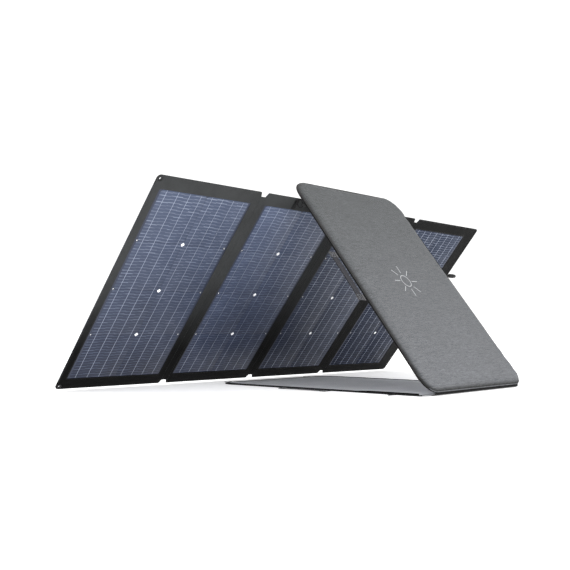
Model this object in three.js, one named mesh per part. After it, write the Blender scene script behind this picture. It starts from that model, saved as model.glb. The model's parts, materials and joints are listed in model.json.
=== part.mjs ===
// Folding four-section solar panel, standing on its two-half carry case as an A-frame.
// Millimetres, +Z up. The origin is on the ground, under the middle of the A-frame.
// The sun side faces -Y. The panel runs along X, section_1 at the +X end, section_4 at the -X end.
import * as THREE from 'three';

const DEG = Math.PI / 180;
const GAP = 0.3;

// Unfolded panel
const PANEL_WIDTH = 1835;
const PANEL_HEIGHT = 820;
const PANEL_TILT = 51.05 * DEG;
const PANEL_FOOT_Y = -513.4;
const FOOT_HEIGHT = 5.9;
const FOLD_PITCH = 449;
const FOLD_HALF_WIDTH = 11;
const NOTCH_DEPTH = 16;
const NOTCH_CHAMFER = 7;
const CORNER_RADIUS = 14;

// Layers of a panel section, measured from its rear face
const REAR_BORDER = [0, 0.7];
const LAMINATE = [1, 3];
const LAMINATE_INSET = 0.6;
const LAMINATE_CORNER_CUT = 34;
const FRONT_BORDER = [3.3, 4];
const FOLD_STRIP = [0, 1.2];
const PANEL_THICKNESS = FRONT_BORDER[1];

// Window in the borders, where the cells show
const CELL_PITCH = 182.4;
const WINDOW_WIDTH = 380;
const WINDOW_BOTTOM = 44.7;
const WINDOW_HEIGHT = 4 * CELL_PITCH;
const WINDOW_OFFSETS = [28, 26, 26, 29];
const WINDOW_RADIUS = 3;

// Pivot between the panel's top edge and the rear case half
const PIVOT_FROM_TOP = 14;
const PIVOT_BEHIND = 4;
const PIVOT_TO_LINER = 17;
const PIVOT_X = 308;

// Carry case
const CASE_WIDTH = 615;
const REAR_LENGTH = 883;
const REAR_START = 1;
const REAR_COVER = [-15.7, -4.4];
const REAR_BOARD = [-4.1, -1.6];
const REAR_LINER = [-1.3, 2.3];
const REAR_TOP_RADIUS = 85;
const REAR_FOOT_RADIUS = 55;
const COVER_BEVEL = 4;
const GROUND_START = 8;
const GROUND_LENGTH = 899;
const GROUND_FRONT_RADIUS = 70;
const GROUND_REAR_RADIUS = 18;
const GROUND_COVER = [0, 2.5];
const GROUND_LINER = [2.8, 5.2];
const TAPE_WIDTH = 6;
const LINER_INSET = 7;

// Webbing, rings and eyelets
const HANDLE_START = 359;
const HANDLE_END = 562;
const HANDLE_REACH = 41;
const HANDLE_ROOT = 3.4;
const ANCHOR_REACH = 1.2;
const WEBBING_WIDTH = 25;
const WEBBING = 2.4;
const RING_RADIUS = 14;
const WIRE_RADIUS = 1.5;
const FRONT_WIRE_RADIUS = 1.25;
const FRONT_RING_REACH = 12;
const EYELET_INSET = 12;
const EYELET_BORE = 4.5;
const EYELET_FLANGE = 8.5;
const EYELET_BARREL = 5.6;

// Junction box on the sun side of section_4, and its output connector
const BOX_SIZE = [32, 110, 17];
const BOX_WALL = 2;
const BOX_FROM_EDGE = 3;
const BOX_MIDDLE = 556;
const GLAND_LENGTH = 8;
const NECK_LENGTH = 30;
const SOCKET_LENGTH = 54;
const SOCKET_DEPTH = 18;

const FABRIC_GREY = { color: 0x7c7f83, roughness: 0.95 };
const FABRIC_BLACK = { color: 0x17181b, roughness: 0.85 };
const LINING_GREY = { color: 0xa6a9ad, roughness: 0.9 };
const WEBBING_GREY = { color: 0x55585d, roughness: 0.9 };
const CELL_BLUE = { color: 0x1c2333, roughness: 0.25 };
const BLACK_PLASTIC = { color: 0x111214, roughness: 0.45 };
const BOARD_PLASTIC = { color: 0x3a3c40, roughness: 0.6 };
const CIRCUIT_GREEN = { color: 0x1f4a2c, roughness: 0.5 };
const BLACK_METAL = { color: 0x2a2b2d, roughness: 0.35, metalness: 1 };
const STEEL = { color: 0xb9bcc0, roughness: 0.3, metalness: 1 };

const object = new THREE.Group();

// The rear face of the panel is this frame's z = 0: x along the panel, y up the slope, z towards the sun.
const panelFrame = new THREE.Group();
panelFrame.position.set(0, PANEL_FOOT_Y, FOOT_HEIGHT);
panelFrame.rotation.x = PANEL_TILT;
object.add(panelFrame);

// The A-frame is isosceles: hinge to pivot and pivot to panel foot are equally long.
const pivotUp = PANEL_HEIGHT - PIVOT_FROM_TOP;
const legAngle = PANEL_TILT - Math.atan2(PIVOT_BEHIND, pivotUp);
const legLength = Math.hypot(pivotUp, PIVOT_BEHIND);
const hingeY = PANEL_FOOT_Y + 2 * legLength * Math.cos(legAngle);

// The rear half's frame starts at the case hinge: x as above, y up the slope, z towards the panel.
const pivotOut = REAR_LINER[1] + PIVOT_TO_LINER;
const pivotAlong = Math.sqrt(legLength ** 2 - pivotOut ** 2);
const rearFrame = new THREE.Group();
rearFrame.position.set(0, hingeY, FOOT_HEIGHT);
rearFrame.rotation.x = Math.PI - legAngle - Math.asin(pivotOut / legLength);
object.add(rearFrame);

// The ground half's frame starts under the case hinge: y runs forwards, towards -Y.
const groundFrame = new THREE.Group();
groundFrame.position.set(0, hingeY, 0);
object.add(groundFrame);

function place(frame, name, geometry, look) {
  const mesh = new THREE.Mesh(geometry, new THREE.MeshStandardMaterial(look));
  mesh.name = name;
  frame.add(mesh);
  return mesh;
}

function slab(shape, [low, high], curveSegments = 6) {
  const geometry = new THREE.ExtrudeGeometry(shape, { depth: high - low, bevelEnabled: false, curveSegments });
  return geometry.translate(0, 0, low);
}

// A profile drawn in (z, y), extruded along X about x = middle.
function alongX(profile, length, middle, curveSegments = 4) {
  const geometry = new THREE.ExtrudeGeometry(profile, { depth: length, bevelEnabled: false, curveSegments });
  return geometry.translate(0, 0, -length / 2).rotateY(-Math.PI / 2).translate(middle, 0, 0);
}

function polygon(points) {
  return new THREE.Shape(points.map(([x, y]) => new THREE.Vector2(x, y)));
}

// A rectangle whose lower and upper corners have their own radii.
function roundedRectangle([x0, y0], [x1, y1], lowRadius, highRadius, Kind = THREE.Shape) {
  const path = new Kind();
  path.moveTo(x0 + lowRadius, y0);
  path.lineTo(x1 - lowRadius, y0);
  path.absarc(x1 - lowRadius, y0 + lowRadius, lowRadius, -Math.PI / 2, 0);
  path.lineTo(x1, y1 - highRadius);
  path.absarc(x1 - highRadius, y1 - highRadius, highRadius, 0, Math.PI / 2);
  path.lineTo(x0 + highRadius, y1);
  path.absarc(x0 + highRadius, y1 - highRadius, highRadius, Math.PI / 2, Math.PI);
  path.lineTo(x0, y0 + lowRadius);
  path.absarc(x0 + lowRadius, y0 + lowRadius, lowRadius, Math.PI, 1.5 * Math.PI);
  return path;
}

// A round hole of 16 sides, none of them nearer its middle than the radius.
function roundHole(x, y, radius) {
  const sides = 16;
  const reach = radius / Math.cos(Math.PI / sides);
  const points = [];
  for (let i = 0; i < sides; i += 1) {
    const turn = (2 * Math.PI * i) / sides;
    points.push(new THREE.Vector2(x + reach * Math.cos(turn), y + reach * Math.sin(turn)));
  }
  return new THREE.Path(points);
}

// Outline of one panel section. A fold side is chamfered for the notch and a free side is rounded. With
// cornerCut, the right side's corners are cut back by that much instead.
function sectionShape(left, right, foldLeft, foldRight, inset, cornerCut = 0) {
  const [x0, x1] = [left + inset, right - inset];
  const [y0, y1] = [inset, PANEL_HEIGHT - inset];
  const radius = CORNER_RADIUS - inset;
  const [rightX, rightY] = foldRight ? [NOTCH_CHAMFER, NOTCH_DEPTH] : [cornerCut, cornerCut];
  const shape = new THREE.Shape();
  shape.moveTo((x0 + x1) / 2, y0);
  if (foldRight || cornerCut) {
    shape.lineTo(x1 - rightX, y0);
    shape.lineTo(x1, y0 + rightY);
    shape.lineTo(x1, y1 - rightY);
    shape.lineTo(x1 - rightX, y1);
  } else {
    shape.lineTo(x1 - radius, y0);
    shape.absarc(x1 - radius, y0 + radius, radius, -Math.PI / 2, 0);
    shape.lineTo(x1, y1 - radius);
    shape.absarc(x1 - radius, y1 - radius, radius, 0, Math.PI / 2);
  }
  if (foldLeft) {
    shape.lineTo(x0 + NOTCH_CHAMFER, y1);
    shape.lineTo(x0, y1 - NOTCH_DEPTH);
    shape.lineTo(x0, y0 + NOTCH_DEPTH);
    shape.lineTo(x0 + NOTCH_CHAMFER, y0);
  } else {
    shape.lineTo(x0 + radius, y1);
    shape.absarc(x0 + radius, y1 - radius, radius, Math.PI / 2, Math.PI);
    shape.lineTo(x0, y0 + radius);
    shape.absarc(x0 + radius, y0 + radius, radius, Math.PI, 1.5 * Math.PI);
  }
  return shape;
}

// Eyelets sit in the near edge's two corners only.
function eyeletPlaces() {
  const x = PANEL_WIDTH / 2 - EYELET_INSET;
  return [[x, EYELET_INSET], [x, PANEL_HEIGHT - EYELET_INSET]];
}

function addSection(index) {
  const number = index + 1;
  const right = PANEL_WIDTH / 2 - index * FOLD_PITCH;
  const left = index === 3 ? -PANEL_WIDTH / 2 : right - FOLD_PITCH;
  const [foldRight, foldLeft] = [index > 0, index < 3];
  const edges = [left + (foldLeft ? FOLD_HALF_WIDTH : 0), right - (foldRight ? FOLD_HALF_WIDTH : 0)];
  const windowRight = right - WINDOW_OFFSETS[index];
  const windowTop = WINDOW_BOTTOM + WINDOW_HEIGHT;
  const eyelets = foldRight ? [] : eyeletPlaces();

  for (const [name, heights] of [['rear_border', REAR_BORDER], ['front_border', FRONT_BORDER]]) {
    const shape = sectionShape(...edges, foldLeft, foldRight, 0);
    for (const [x, y] of eyelets) shape.holes.push(roundHole(x, y, EYELET_BARREL + GAP));
    const low = [windowRight - WINDOW_WIDTH, WINDOW_BOTTOM];
    shape.holes.push(roundedRectangle(low, [windowRight, windowTop], WINDOW_RADIUS, WINDOW_RADIUS, THREE.Path));
    place(panelFrame, `section_${number}_${name}`, slab(shape, heights, 4), FABRIC_BLACK);
  }
  const cornerCut = foldRight ? 0 : LAMINATE_CORNER_CUT;
  const laminate = sectionShape(...edges, foldLeft, foldRight, LAMINATE_INSET, cornerCut);
  place(panelFrame, `section_${number}_laminate`, slab(laminate, LAMINATE), CELL_BLUE);
}

function addFoldStrip(name, fold) {
  const x = PANEL_WIDTH / 2 - fold * FOLD_PITCH;
  const half = FOLD_HALF_WIDTH - GAP;
  const low = [x - half, NOTCH_DEPTH];
  const high = [x + half, PANEL_HEIGHT - NOTCH_DEPTH];
  place(panelFrame, name, slab(roundedRectangle(low, high, 1, 1), FOLD_STRIP, 2), FABRIC_BLACK);
}

// A grommet: a barrel through the layers with a flange on each face.
function addEyelet(name, [x, y]) {
  const [rear, front] = [-GAP, PANEL_THICKNESS + GAP];
  const flange = 0.7;
  const profile = [
    [EYELET_BORE, rear - flange], [EYELET_FLANGE, rear - flange], [EYELET_FLANGE, rear],
    [EYELET_BARREL, rear], [EYELET_BARREL, front], [EYELET_FLANGE, front],
    [EYELET_FLANGE, front + flange], [EYELET_BORE, front + flange], [EYELET_BORE, rear - flange],
  ].map(([r, z]) => new THREE.Vector2(r, z));
  const geometry = new THREE.LatheGeometry(profile, 16).rotateX(Math.PI / 2);
  place(panelFrame, name, geometry.translate(x, y, 0), BLACK_METAL);
}

// An open hook on the panel's rear face. Its slot faces backwards and takes the ring's wire.
function addTopClip(name, x) {
  const middle = PANEL_HEIGHT - PIVOT_FROM_TOP;
  const slot = WIRE_RADIUS + 0.7;
  const wall = slot + 2;
  const [face, floor, lip] = [-GAP, -PIVOT_BEHIND + slot, -PIVOT_BEHIND - 3.4];
  const profile = polygon([
    [face, middle - 20], [floor, middle - 20], [floor, middle - wall], [lip, middle - wall],
    [lip, middle - slot], [floor, middle - slot], [floor, middle + slot], [lip, middle + slot],
    [lip, middle + wall], [floor, middle + wall], [floor, middle + 10], [face, middle + 10],
  ]);
  place(panelFrame, name, alongX(profile, 9, x), BLACK_PLASTIC);
}

function addJunctionBox() {
  const [width, length, depth] = BOX_SIZE;
  const left = -PANEL_WIDTH / 2 + BOX_FROM_EDGE;
  const [low, high] = [[left, BOX_MIDDLE - length / 2], [left + width, BOX_MIDDLE + length / 2]];
  const inner = (edge) => [
    [low[0] + edge, low[1] + edge], [high[0] - edge, high[1] - edge],
  ];
  const seat = PANEL_THICKNESS + GAP;
  const lidFrom = seat + depth - 3;

  const floor = slab(roundedRectangle(low, high, 5, 5), [seat, seat + BOX_WALL]);
  place(panelFrame, 'junction_box_floor', floor, BLACK_PLASTIC);

  const walls = roundedRectangle(low, high, 5, 5);
  walls.holes.push(roundedRectangle(...inner(BOX_WALL), 3, 3, THREE.Path));
  const wallHeights = [seat + BOX_WALL + GAP, lidFrom - GAP];
  place(panelFrame, 'junction_box_walls', slab(walls, wallHeights), BLACK_PLASTIC);

  const lid = roundedRectangle(low, high, 5, 5);
  const screws = [low[1] + 8, high[1] - 8].map((y) => [left + width / 2, y]);
  for (const [x, y] of screws) lid.holes.push(roundHole(x, y, 1.8));
  place(panelFrame, 'junction_box_lid', slab(lid, [lidFrom, seat + depth]), BLACK_PLASTIC);
  for (const [i, [x, y]] of screws.entries()) {
    const head = [[0, 0], [1.5, 0], [1.5, 6.5], [3.2, 6.8], [2.6, 8], [0, 8]];
    const points = head.map(([r, z]) => new THREE.Vector2(r, z));
    const screw = new THREE.LatheGeometry(points, 12).rotateX(Math.PI / 2);
    screw.translate(x, y, lidFrom - 3.5);
    place(panelFrame, `lid_screw_${i + 1}`, screw, STEEL);
  }

  const [boardLow, boardHigh] = inner(BOX_WALL + 1);
  const board = slab(roundedRectangle(boardLow, boardHigh, 2, 2), [seat + 4.4, seat + 6]);
  place(panelFrame, 'bypass_diode_board', board, CIRCUIT_GREEN);
  addOutput(left, seat + depth / 2);
}

// Gland, flexible neck and output socket, one after the other along -X from the box's side.
function addOutput(boxSide, height) {
  function turned(name, start, profile, look) {
    const points = profile.map(([r, x]) => new THREE.Vector2(r, x));
    const geometry = new THREE.LatheGeometry(points, 16).rotateZ(Math.PI / 2);
    place(panelFrame, name, geometry.translate(start, BOX_MIDDLE, height), look);
  }
  const gland = [[0, 0], [6, 0], [6, 5], [4.6, GLAND_LENGTH], [0, GLAND_LENGTH]];
  turned('output_gland', boxSide - GAP, gland, BLACK_PLASTIC);
  const neckStart = boxSide - GLAND_LENGTH - 2 * GAP;
  const neck = [[0, 0], [3.4, 0], [2.8, NECK_LENGTH], [0, NECK_LENGTH]];
  turned('output_neck', neckStart, neck, BLACK_PLASTIC);
  const bottom = SOCKET_LENGTH - SOCKET_DEPTH;
  const housing = [
    [0, 0], [5, 0], [8, 4], [9.5, 12], [9.5, bottom + 2], [8, bottom + 6],
    [8, SOCKET_LENGTH], [4.4, SOCKET_LENGTH], [4.4, bottom], [0, bottom],
  ];
  turned('output_socket', neckStart - NECK_LENGTH - GAP, housing, BLACK_PLASTIC);
}

// An open-ended band along the two sides and the far end of a case half.
function bandShape(start, end, endRadius, inset) {
  const half = CASE_WIDTH / 2 - inset;
  const shape = new THREE.Shape();
  const turn = (reach, radius, top) => {
    shape.lineTo(reach, top - radius);
    shape.absarc(reach - radius, top - radius, radius, 0, Math.PI / 2);
    shape.lineTo(radius - reach, top);
    shape.absarc(radius - reach, top - radius, radius, Math.PI / 2, Math.PI);
    shape.lineTo(-reach, start);
  };
  shape.moveTo(half, start);
  turn(half, endRadius, end);
  const inner = half - TAPE_WIDTH;
  const innerRadius = endRadius - TAPE_WIDTH;
  shape.lineTo(-inner, start);
  shape.lineTo(-inner, end - endRadius);
  shape.absarc(innerRadius - inner, end - endRadius, innerRadius, Math.PI, Math.PI / 2, true);
  shape.lineTo(inner - innerRadius, end - TAPE_WIDTH);
  shape.absarc(inner - innerRadius, end - endRadius, innerRadius, Math.PI / 2, 0, true);
  shape.lineTo(inner, start);
  return shape;
}

function caseShape(start, end, inset, footRadius, endRadius) {
  const half = CASE_WIDTH / 2 - inset;
  return roundedRectangle([-half, start + inset], [half, end - inset], footRadius, endRadius);
}

function addRearHalf() {
  const end = REAR_LENGTH;
  const cover = new THREE.ExtrudeGeometry(
    caseShape(REAR_START, end, COVER_BEVEL, REAR_FOOT_RADIUS, REAR_TOP_RADIUS - COVER_BEVEL),
    {
      depth: REAR_COVER[1] - REAR_COVER[0] - 2 * COVER_BEVEL,
      bevelThickness: COVER_BEVEL,
      bevelSize: COVER_BEVEL,
      bevelSegments: 2,
      curveSegments: 8,
    },
  );
  place(rearFrame, 'rear_cover', cover.translate(0, 0, REAR_COVER[0] + COVER_BEVEL), FABRIC_GREY);

  const tapeInset = 1;
  const tapeRadius = REAR_TOP_RADIUS - tapeInset;
  const tape = bandShape(REAR_FOOT_RADIUS, end - tapeInset, tapeRadius, tapeInset);
  place(rearFrame, 'rear_zip_tape', slab(tape, REAR_BOARD), FABRIC_BLACK);

  const inset = tapeInset + TAPE_WIDTH + GAP;
  const radii = [REAR_FOOT_RADIUS - inset, REAR_TOP_RADIUS - inset];
  const board = caseShape(REAR_START, end, inset, ...radii);
  place(rearFrame, 'rear_stiffener', slab(board, REAR_BOARD), BOARD_PLASTIC);
  const liner = caseShape(REAR_START, end, LINER_INSET, ...radii);
  place(rearFrame, 'rear_liner', slab(liner, REAR_LINER), LINING_GREY);
}

// A flat webbing U beside a case edge. Its arms start just outside the anchors.
function handleShape() {
  const root = CASE_WIDTH / 2 + HANDLE_ROOT;
  const out = CASE_WIDTH / 2 + HANDLE_REACH;
  const [r, w] = [16, WEBBING_WIDTH];
  const shape = new THREE.Shape();
  shape.moveTo(root, HANDLE_START);
  shape.lineTo(out - r, HANDLE_START);
  shape.absarc(out - r, HANDLE_START + r, r, -Math.PI / 2, 0);
  shape.lineTo(out, HANDLE_END - r);
  shape.absarc(out - r, HANDLE_END - r, r, 0, Math.PI / 2);
  shape.lineTo(root, HANDLE_END);
  shape.lineTo(root, HANDLE_END - w);
  shape.lineTo(out - w, HANDLE_END - w);
  shape.lineTo(out - w, HANDLE_START + w);
  shape.lineTo(root, HANDLE_START + w);
  return shape;
}

function addHandle(name, frame, level, forwards, edge) {
  const sign = forwards ? -1 : 1;
  const handle = slab(handleShape(), [level, level + WEBBING]);
  if (forwards) handle.rotateX(Math.PI).translate(0, 0, 2 * level + WEBBING);
  place(frame, name, handle, WEBBING_GREY);
  for (const [label, y] of [['lower', HANDLE_START], ['upper', HANDLE_END - WEBBING_WIDTH]]) {
    const [a, b] = [sign * y, sign * (y + WEBBING_WIDTH)];
    const low = [edge + GAP, Math.min(a, b)];
    const high = [CASE_WIDTH / 2 + ANCHOR_REACH, Math.max(a, b)];
    const anchor = slab(roundedRectangle(low, high, 0.3, 0.3), [level, level + WEBBING], 1);
    place(frame, `${name}_anchor_${label}`, anchor, WEBBING_GREY);
  }
}

// The moulded ring whose rod is the panel's pivot, and the webbing tab that holds its lower side.
function addTopRing(side, x) {
  const lean = 33 * DEG;
  const ring = new THREE.TorusGeometry(RING_RADIUS, WIRE_RADIUS, 8, 24);
  ring.rotateX(-lean).translate(
    x,
    pivotAlong - RING_RADIUS * Math.cos(lean),
    pivotOut - RING_RADIUS * Math.sin(lean),
  );
  place(rearFrame, `top_ring_${side}`, ring, BLACK_PLASTIC);

  const wireY = pivotAlong - 2 * RING_RADIUS * Math.cos(lean);
  const wireZ = pivotOut - 2 * RING_RADIUS * Math.sin(lean);
  const base = REAR_LINER[1] + GAP;
  const [clear, cloth] = [2.8, 1];
  const outer = roundedRectangle([base, wireY - 14], [wireZ + clear + cloth, wireY + clear + cloth], 1, 2);
  const hollow = [[wireZ - clear, wireY - clear], [wireZ + clear, wireY + clear]];
  hollow[0][0] = Math.max(hollow[0][0], base + 0.8);
  outer.holes.push(roundedRectangle(...hollow, 1, 1, THREE.Path));
  place(rearFrame, `ring_tab_${side}`, alongX(outer, 12, x), FABRIC_BLACK);
}

function addGroundHalf() {
  const [start, end] = [GROUND_START, GROUND_LENGTH];
  const forwards = (shape, heights) => {
    const geometry = slab(shape, heights, 8);
    return geometry.rotateX(Math.PI).translate(0, 0, heights[0] + heights[1]);
  };
  const inset = TAPE_WIDTH + GAP;
  const cover = caseShape(start - inset, end, inset, GROUND_REAR_RADIUS, GROUND_FRONT_RADIUS - inset);
  place(groundFrame, 'ground_cover', forwards(cover, GROUND_COVER), FABRIC_GREY);
  const liner = caseShape(start - inset, end, inset + 1, GROUND_REAR_RADIUS, GROUND_FRONT_RADIUS - inset);
  place(groundFrame, 'ground_liner', forwards(liner, GROUND_LINER), LINING_GREY);
  const tape = bandShape(start + GROUND_REAR_RADIUS, end, GROUND_FRONT_RADIUS, 0);
  place(groundFrame, 'ground_zip_tape', forwards(tape, [0.2, 4.2]), FABRIC_BLACK);

  const strip = roundedRectangle([-CASE_WIDTH / 2 + 40, -GROUND_START + GAP], [CASE_WIDTH / 2 - 40, 12], 2, 2);
  place(groundFrame, 'spine_strip', slab(strip, [0, 1.4], 3), FABRIC_BLACK);
}

// The slider rides on the tape's outer edge beside section_1, with a hinged pull.
function addZipSlider() {
  const [edge, at] = [CASE_WIDTH / 2, -115];
  const body = roundedRectangle([edge + GAP, at - 7], [edge + 8, at + 7], 2, 2);
  place(groundFrame, 'zip_slider', slab(body, [0.4, 4.4], 3), BLACK_PLASTIC);
  const root = edge + 9.3;
  const pull = roundedRectangle([root, at - 4], [root + 26, at + 4], 2, 2);
  pull.holes.push(roundedRectangle([root + 18, at - 2], [root + 24, at + 2], 1.5, 1.5, THREE.Path));
  place(groundFrame, 'zip_pull', slab(pull, [0.8, 2.6], 3), BLACK_PLASTIC);
}

// A webbing tab and a steel ring at each front corner of the ground half, lying on the ground.
function addFrontRing(side, x) {
  const edge = -GROUND_LENGTH;
  const wireY = edge - FRONT_RING_REACH;
  const profile = roundedRectangle([0.2, wireY - 4.3], [5.1, edge - GAP], 1, 1);
  profile.holes.push(roundedRectangle([0.8, wireY - 3.3], [4.5, wireY + 2.8], 0.8, 0.8, THREE.Path));
  place(groundFrame, `front_tab_${side}`, alongX(profile, 8, x), FABRIC_BLACK);
  const ring = new THREE.TorusGeometry(RING_RADIUS, FRONT_WIRE_RADIUS, 8, 24);
  place(groundFrame, `front_ring_${side}`, ring.translate(x, wireY - RING_RADIUS, 2.4), STEEL);
}

for (let index = 0; index < 4; index += 1) addSection(index);
addFoldStrip('fold_strip_near', 1);
addFoldStrip('fold_strip_centre', 2);
addFoldStrip('fold_strip_far', 3);
const [bottomEyelet, topEyelet] = eyeletPlaces();
addEyelet('eyelet_near_bottom', bottomEyelet);
addEyelet('eyelet_near_top', topEyelet);
for (const [label, side] of [['near', 1], ['far', -1]]) {
  addTopClip(`top_clip_${label}`, side * PIVOT_X);
  addTopRing(label, side * PIVOT_X);
  addFrontRing(label, side * (CASE_WIDTH / 2 - GROUND_FRONT_RADIUS - 10));
}
addJunctionBox();
addRearHalf();
addHandle('rear_handle', rearFrame, -4.1, false, CASE_WIDTH / 2 - 1);
addGroundHalf();
addHandle('ground_handle', groundFrame, 0.5, true, CASE_WIDTH / 2);
addZipSlider();

export default object;
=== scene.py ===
"""Looks of the folding solar panel: cells, coated fabric, padded case, webbing, zips and hardware.

Pieces are drawn in millimetres in three flat working frames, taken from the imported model:
the panel, the rear half of the case and the ground half.
"""
import json
import math

import bmesh
import bpy
import numpy as np
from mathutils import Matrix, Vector, noise


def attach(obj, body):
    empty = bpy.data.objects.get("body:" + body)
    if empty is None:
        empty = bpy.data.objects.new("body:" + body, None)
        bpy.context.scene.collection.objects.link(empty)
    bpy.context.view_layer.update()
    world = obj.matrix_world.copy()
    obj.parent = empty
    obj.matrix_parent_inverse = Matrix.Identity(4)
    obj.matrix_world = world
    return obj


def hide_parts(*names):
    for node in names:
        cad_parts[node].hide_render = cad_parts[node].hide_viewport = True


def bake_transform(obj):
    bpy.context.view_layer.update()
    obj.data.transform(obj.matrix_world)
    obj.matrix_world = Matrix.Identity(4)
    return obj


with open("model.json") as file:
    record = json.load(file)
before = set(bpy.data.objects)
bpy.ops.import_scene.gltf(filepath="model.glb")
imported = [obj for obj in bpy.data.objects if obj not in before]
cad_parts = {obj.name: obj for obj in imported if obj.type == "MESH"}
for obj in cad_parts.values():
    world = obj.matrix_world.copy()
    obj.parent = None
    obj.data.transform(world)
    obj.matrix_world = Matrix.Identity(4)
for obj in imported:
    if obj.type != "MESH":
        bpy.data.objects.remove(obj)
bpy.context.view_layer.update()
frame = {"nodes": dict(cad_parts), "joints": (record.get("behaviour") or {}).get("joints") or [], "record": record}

X_AXIS = np.array([1.0, 0.0, 0.0])
MM = 1000.0

# Window in the borders and the cells behind it
WINDOW_OFFSETS = [28, 26, 26, 29]
WINDOW_WIDTH = 380
WINDOW_BOTTOM = 44.7
WINDOW_RADIUS = 3
CELL_PITCH = 182.4
CELL_ROWS = 4
CELL_COLUMNS = 2
CELL_GAP = 1.2
CELL_CHAMFER = 6.5
RIBBONS_PER_CELL = 4
FINGER_PITCH = 11.4
BRICK_SHIFT = 0.16
# Painted light and shade: lit and shaded copies of the cells, section 2 lighter, sections 3 and 4 darker and less
# glossy
SECTION_PAINTED_SHADES = {1: 1.0, 2: 1.22, 3: 0.78, 4: 0.5}

# Outline of a section
NOTCH = (7, 16)
CORNER_RADIUS = 14
LAMINATE = (1.05, 2.95)
LAMINATE_CORNER_CUT = (34, 34)
FOLD_HALF_WIDTH = 11

# Padded cover of the rear half. The last four fill out its top edge and its near top corner.
PAD_FOOT_RADIUS = 55
PAD_TOP_RADIUS = 85
PAD_SEAM = -5.0
PAD_START_DEPTH = 8.4
PAD_EDGE_RADIUS = 14.0
# Depths in from the pad's rim over which painted shade fades from black into the grey face
PAD_PAINTED_SHADE_EDGE = (2.5, 14.0)
PAD_SWELL = 4.0
PAD_PIPING_RADIUS = 1.7
FOOT_PIPING_RADIUS = 1.25
INFLATE_FRAMES = 20
SEAM_HEIGHT = 15.0
PAD_TOP_RISE = 6.0
PAD_TOP_RAMP = 180.0
PAD_CORNER_PUSH = 14.0
PAD_CORNER_SPREAD = 45.0

# Corner radii at the foot and at the top of the sewn skins and zips
GROUND_SHEET_RADII = (18, 63.7)
GROUND_LINING_RADII = (18, 63)
REAR_LINING_RADII = (48, 78)
GROUND_ZIP_RADIUS = 70
REAR_ZIP_RADIUS = 84

# Piping round the ground half. It comes down before the part that the panel's foot swings over.
GROUND_PIPING_HEIGHT = 3.35
GROUND_PIPING_RADIUS = 2.4
GROUND_PIPING_RISE = 2.4
GROUND_PIPING_RAMP = (210.0, 270.0)

# Output connector
NECK_RIB_PITCH = 2.0
SOCKET_DEPTH = 18

# Webbing
WEBBING_WIDTH = 25
GRIP_WIDTH = 30
SELVEDGE = (11.2, 12.4)
STRAP = 1.15
STRAP_STEPS = 60
ARM_STEPS = 26
TAB_THICKNESS = 0.6

# Small parts. A turned profile starts and ends at AXLE, next to its axis.
EYELET_HOLE_RADIUS = 5.4
DRILL_REACH = 20
RING_STEPS = 64
WIRE_SIDES = 12
BEAD_SIDES = 6
AXLE = 0.02

# Camera, in metres, millimetres and degrees
CAMERA_SPOT = (2.4675, 1.8761, 0.2044)
CAMERA_HEADING = (-0.7447, -0.6674)
CAMERA_RISE = 2.91
CAMERA_SENSOR = 36.0
CAMERA_LENS = 53.49


# ---------------------------------------------------------------- working frames
class Plane:
    """A flat frame: x along the panel, v up the surface, w off the surface."""

    def __init__(self, origin, up, out):
        self.origin, self.up, self.out = (np.array(a, float) for a in (origin, up, out))

    def world(self, points):
        p = np.asarray(points, float).reshape(-1, 3) / MM
        return self.origin + p[:, :1] * X_AXIS + p[:, 1:2] * self.up + p[:, 2:3] * self.out

    def local(self, points):
        p = (np.asarray(points, float).reshape(-1, 3) - self.origin) * MM
        return np.stack([p @ X_AXIS, p @ self.up, p @ self.out], 1)

    def span(self, node):
        """Lowest and highest local corner of a CAD node."""
        p = self.node_points(node)
        return p.min(0), p.max(0)

    def node_points(self, node):
        return self.local([v.co for v in frame["nodes"][node].data.vertices])

    def middle(self, node):
        """Middle (x, v) of a CAD node."""
        low, high = self.span(node)
        return (low[:2] + high[:2]) / 2


JOINTS = {j["name"]: j for j in frame["joints"]}


def panel_plane():
    up = -np.array(JOINTS["fold_centre"]["axis"], float)
    plane = Plane((0, 0, 0), up, np.cross(X_AXIS, up))
    low, _ = plane.span("section_2_rear_border")
    plane.origin = (low[1] * plane.up + low[2] * plane.out) / MM
    return plane


def rear_plane():
    up = np.array(JOINTS["rear_handle_swing"]["axis"], float)
    return Plane(JOINTS["case_hinge"]["pos_m"], up, np.cross(X_AXIS, up))


PANEL = panel_plane()
REAR = rear_plane()
GROUND = Plane((0, JOINTS["case_hinge"]["pos_m"][1], 0), (0, -1, 0), (0, 0, 1))
PANEL_HEIGHT = PANEL.span("section_2_rear_border")[1][1]


# ---------------------------------------------------------------- mesh building
def unit(v):
    return v / np.maximum(np.linalg.norm(v, axis=-1, keepdims=True), 1e-9)


def raised(loop, w):
    """Gives the (x, v) points of a loop their distance off the surface."""
    return np.column_stack([loop, np.full(len(loop), w)])


def uneven(x, v, *waves):
    """Smooth noise over a grid. A wave is its size in x, its size in v, its phase and its share."""
    return np.array([[sum(share * noise.noise(Vector((a / across, b / along, phase)))
                          for across, along, phase, share in waves)
                      for a, b in zip(p, q)] for p, q in zip(x, v)])


def spread(path, pitch, closed=False):
    """Points spaced along a path, with their directions."""
    path = np.asarray(path, float)
    if closed:
        path = np.vstack([path, path[:1]])
    steps = np.linalg.norm(np.diff(path, axis=0), axis=1)
    along = np.concatenate([[0], np.cumsum(steps)])
    count = max(2, int(along[-1] / pitch))
    spots = (np.arange(count) + 0.5) * along[-1] / count
    points = np.stack([np.interp(spots, along, path[:, k]) for k in range(3)], 1)
    ahead = np.stack([np.interp(spots + pitch / 4, along, path[:, k]) for k in range(3)], 1)
    behind = np.stack([np.interp(spots - pitch / 4, along, path[:, k]) for k in range(3)], 1)
    return points, unit(ahead - behind)


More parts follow.
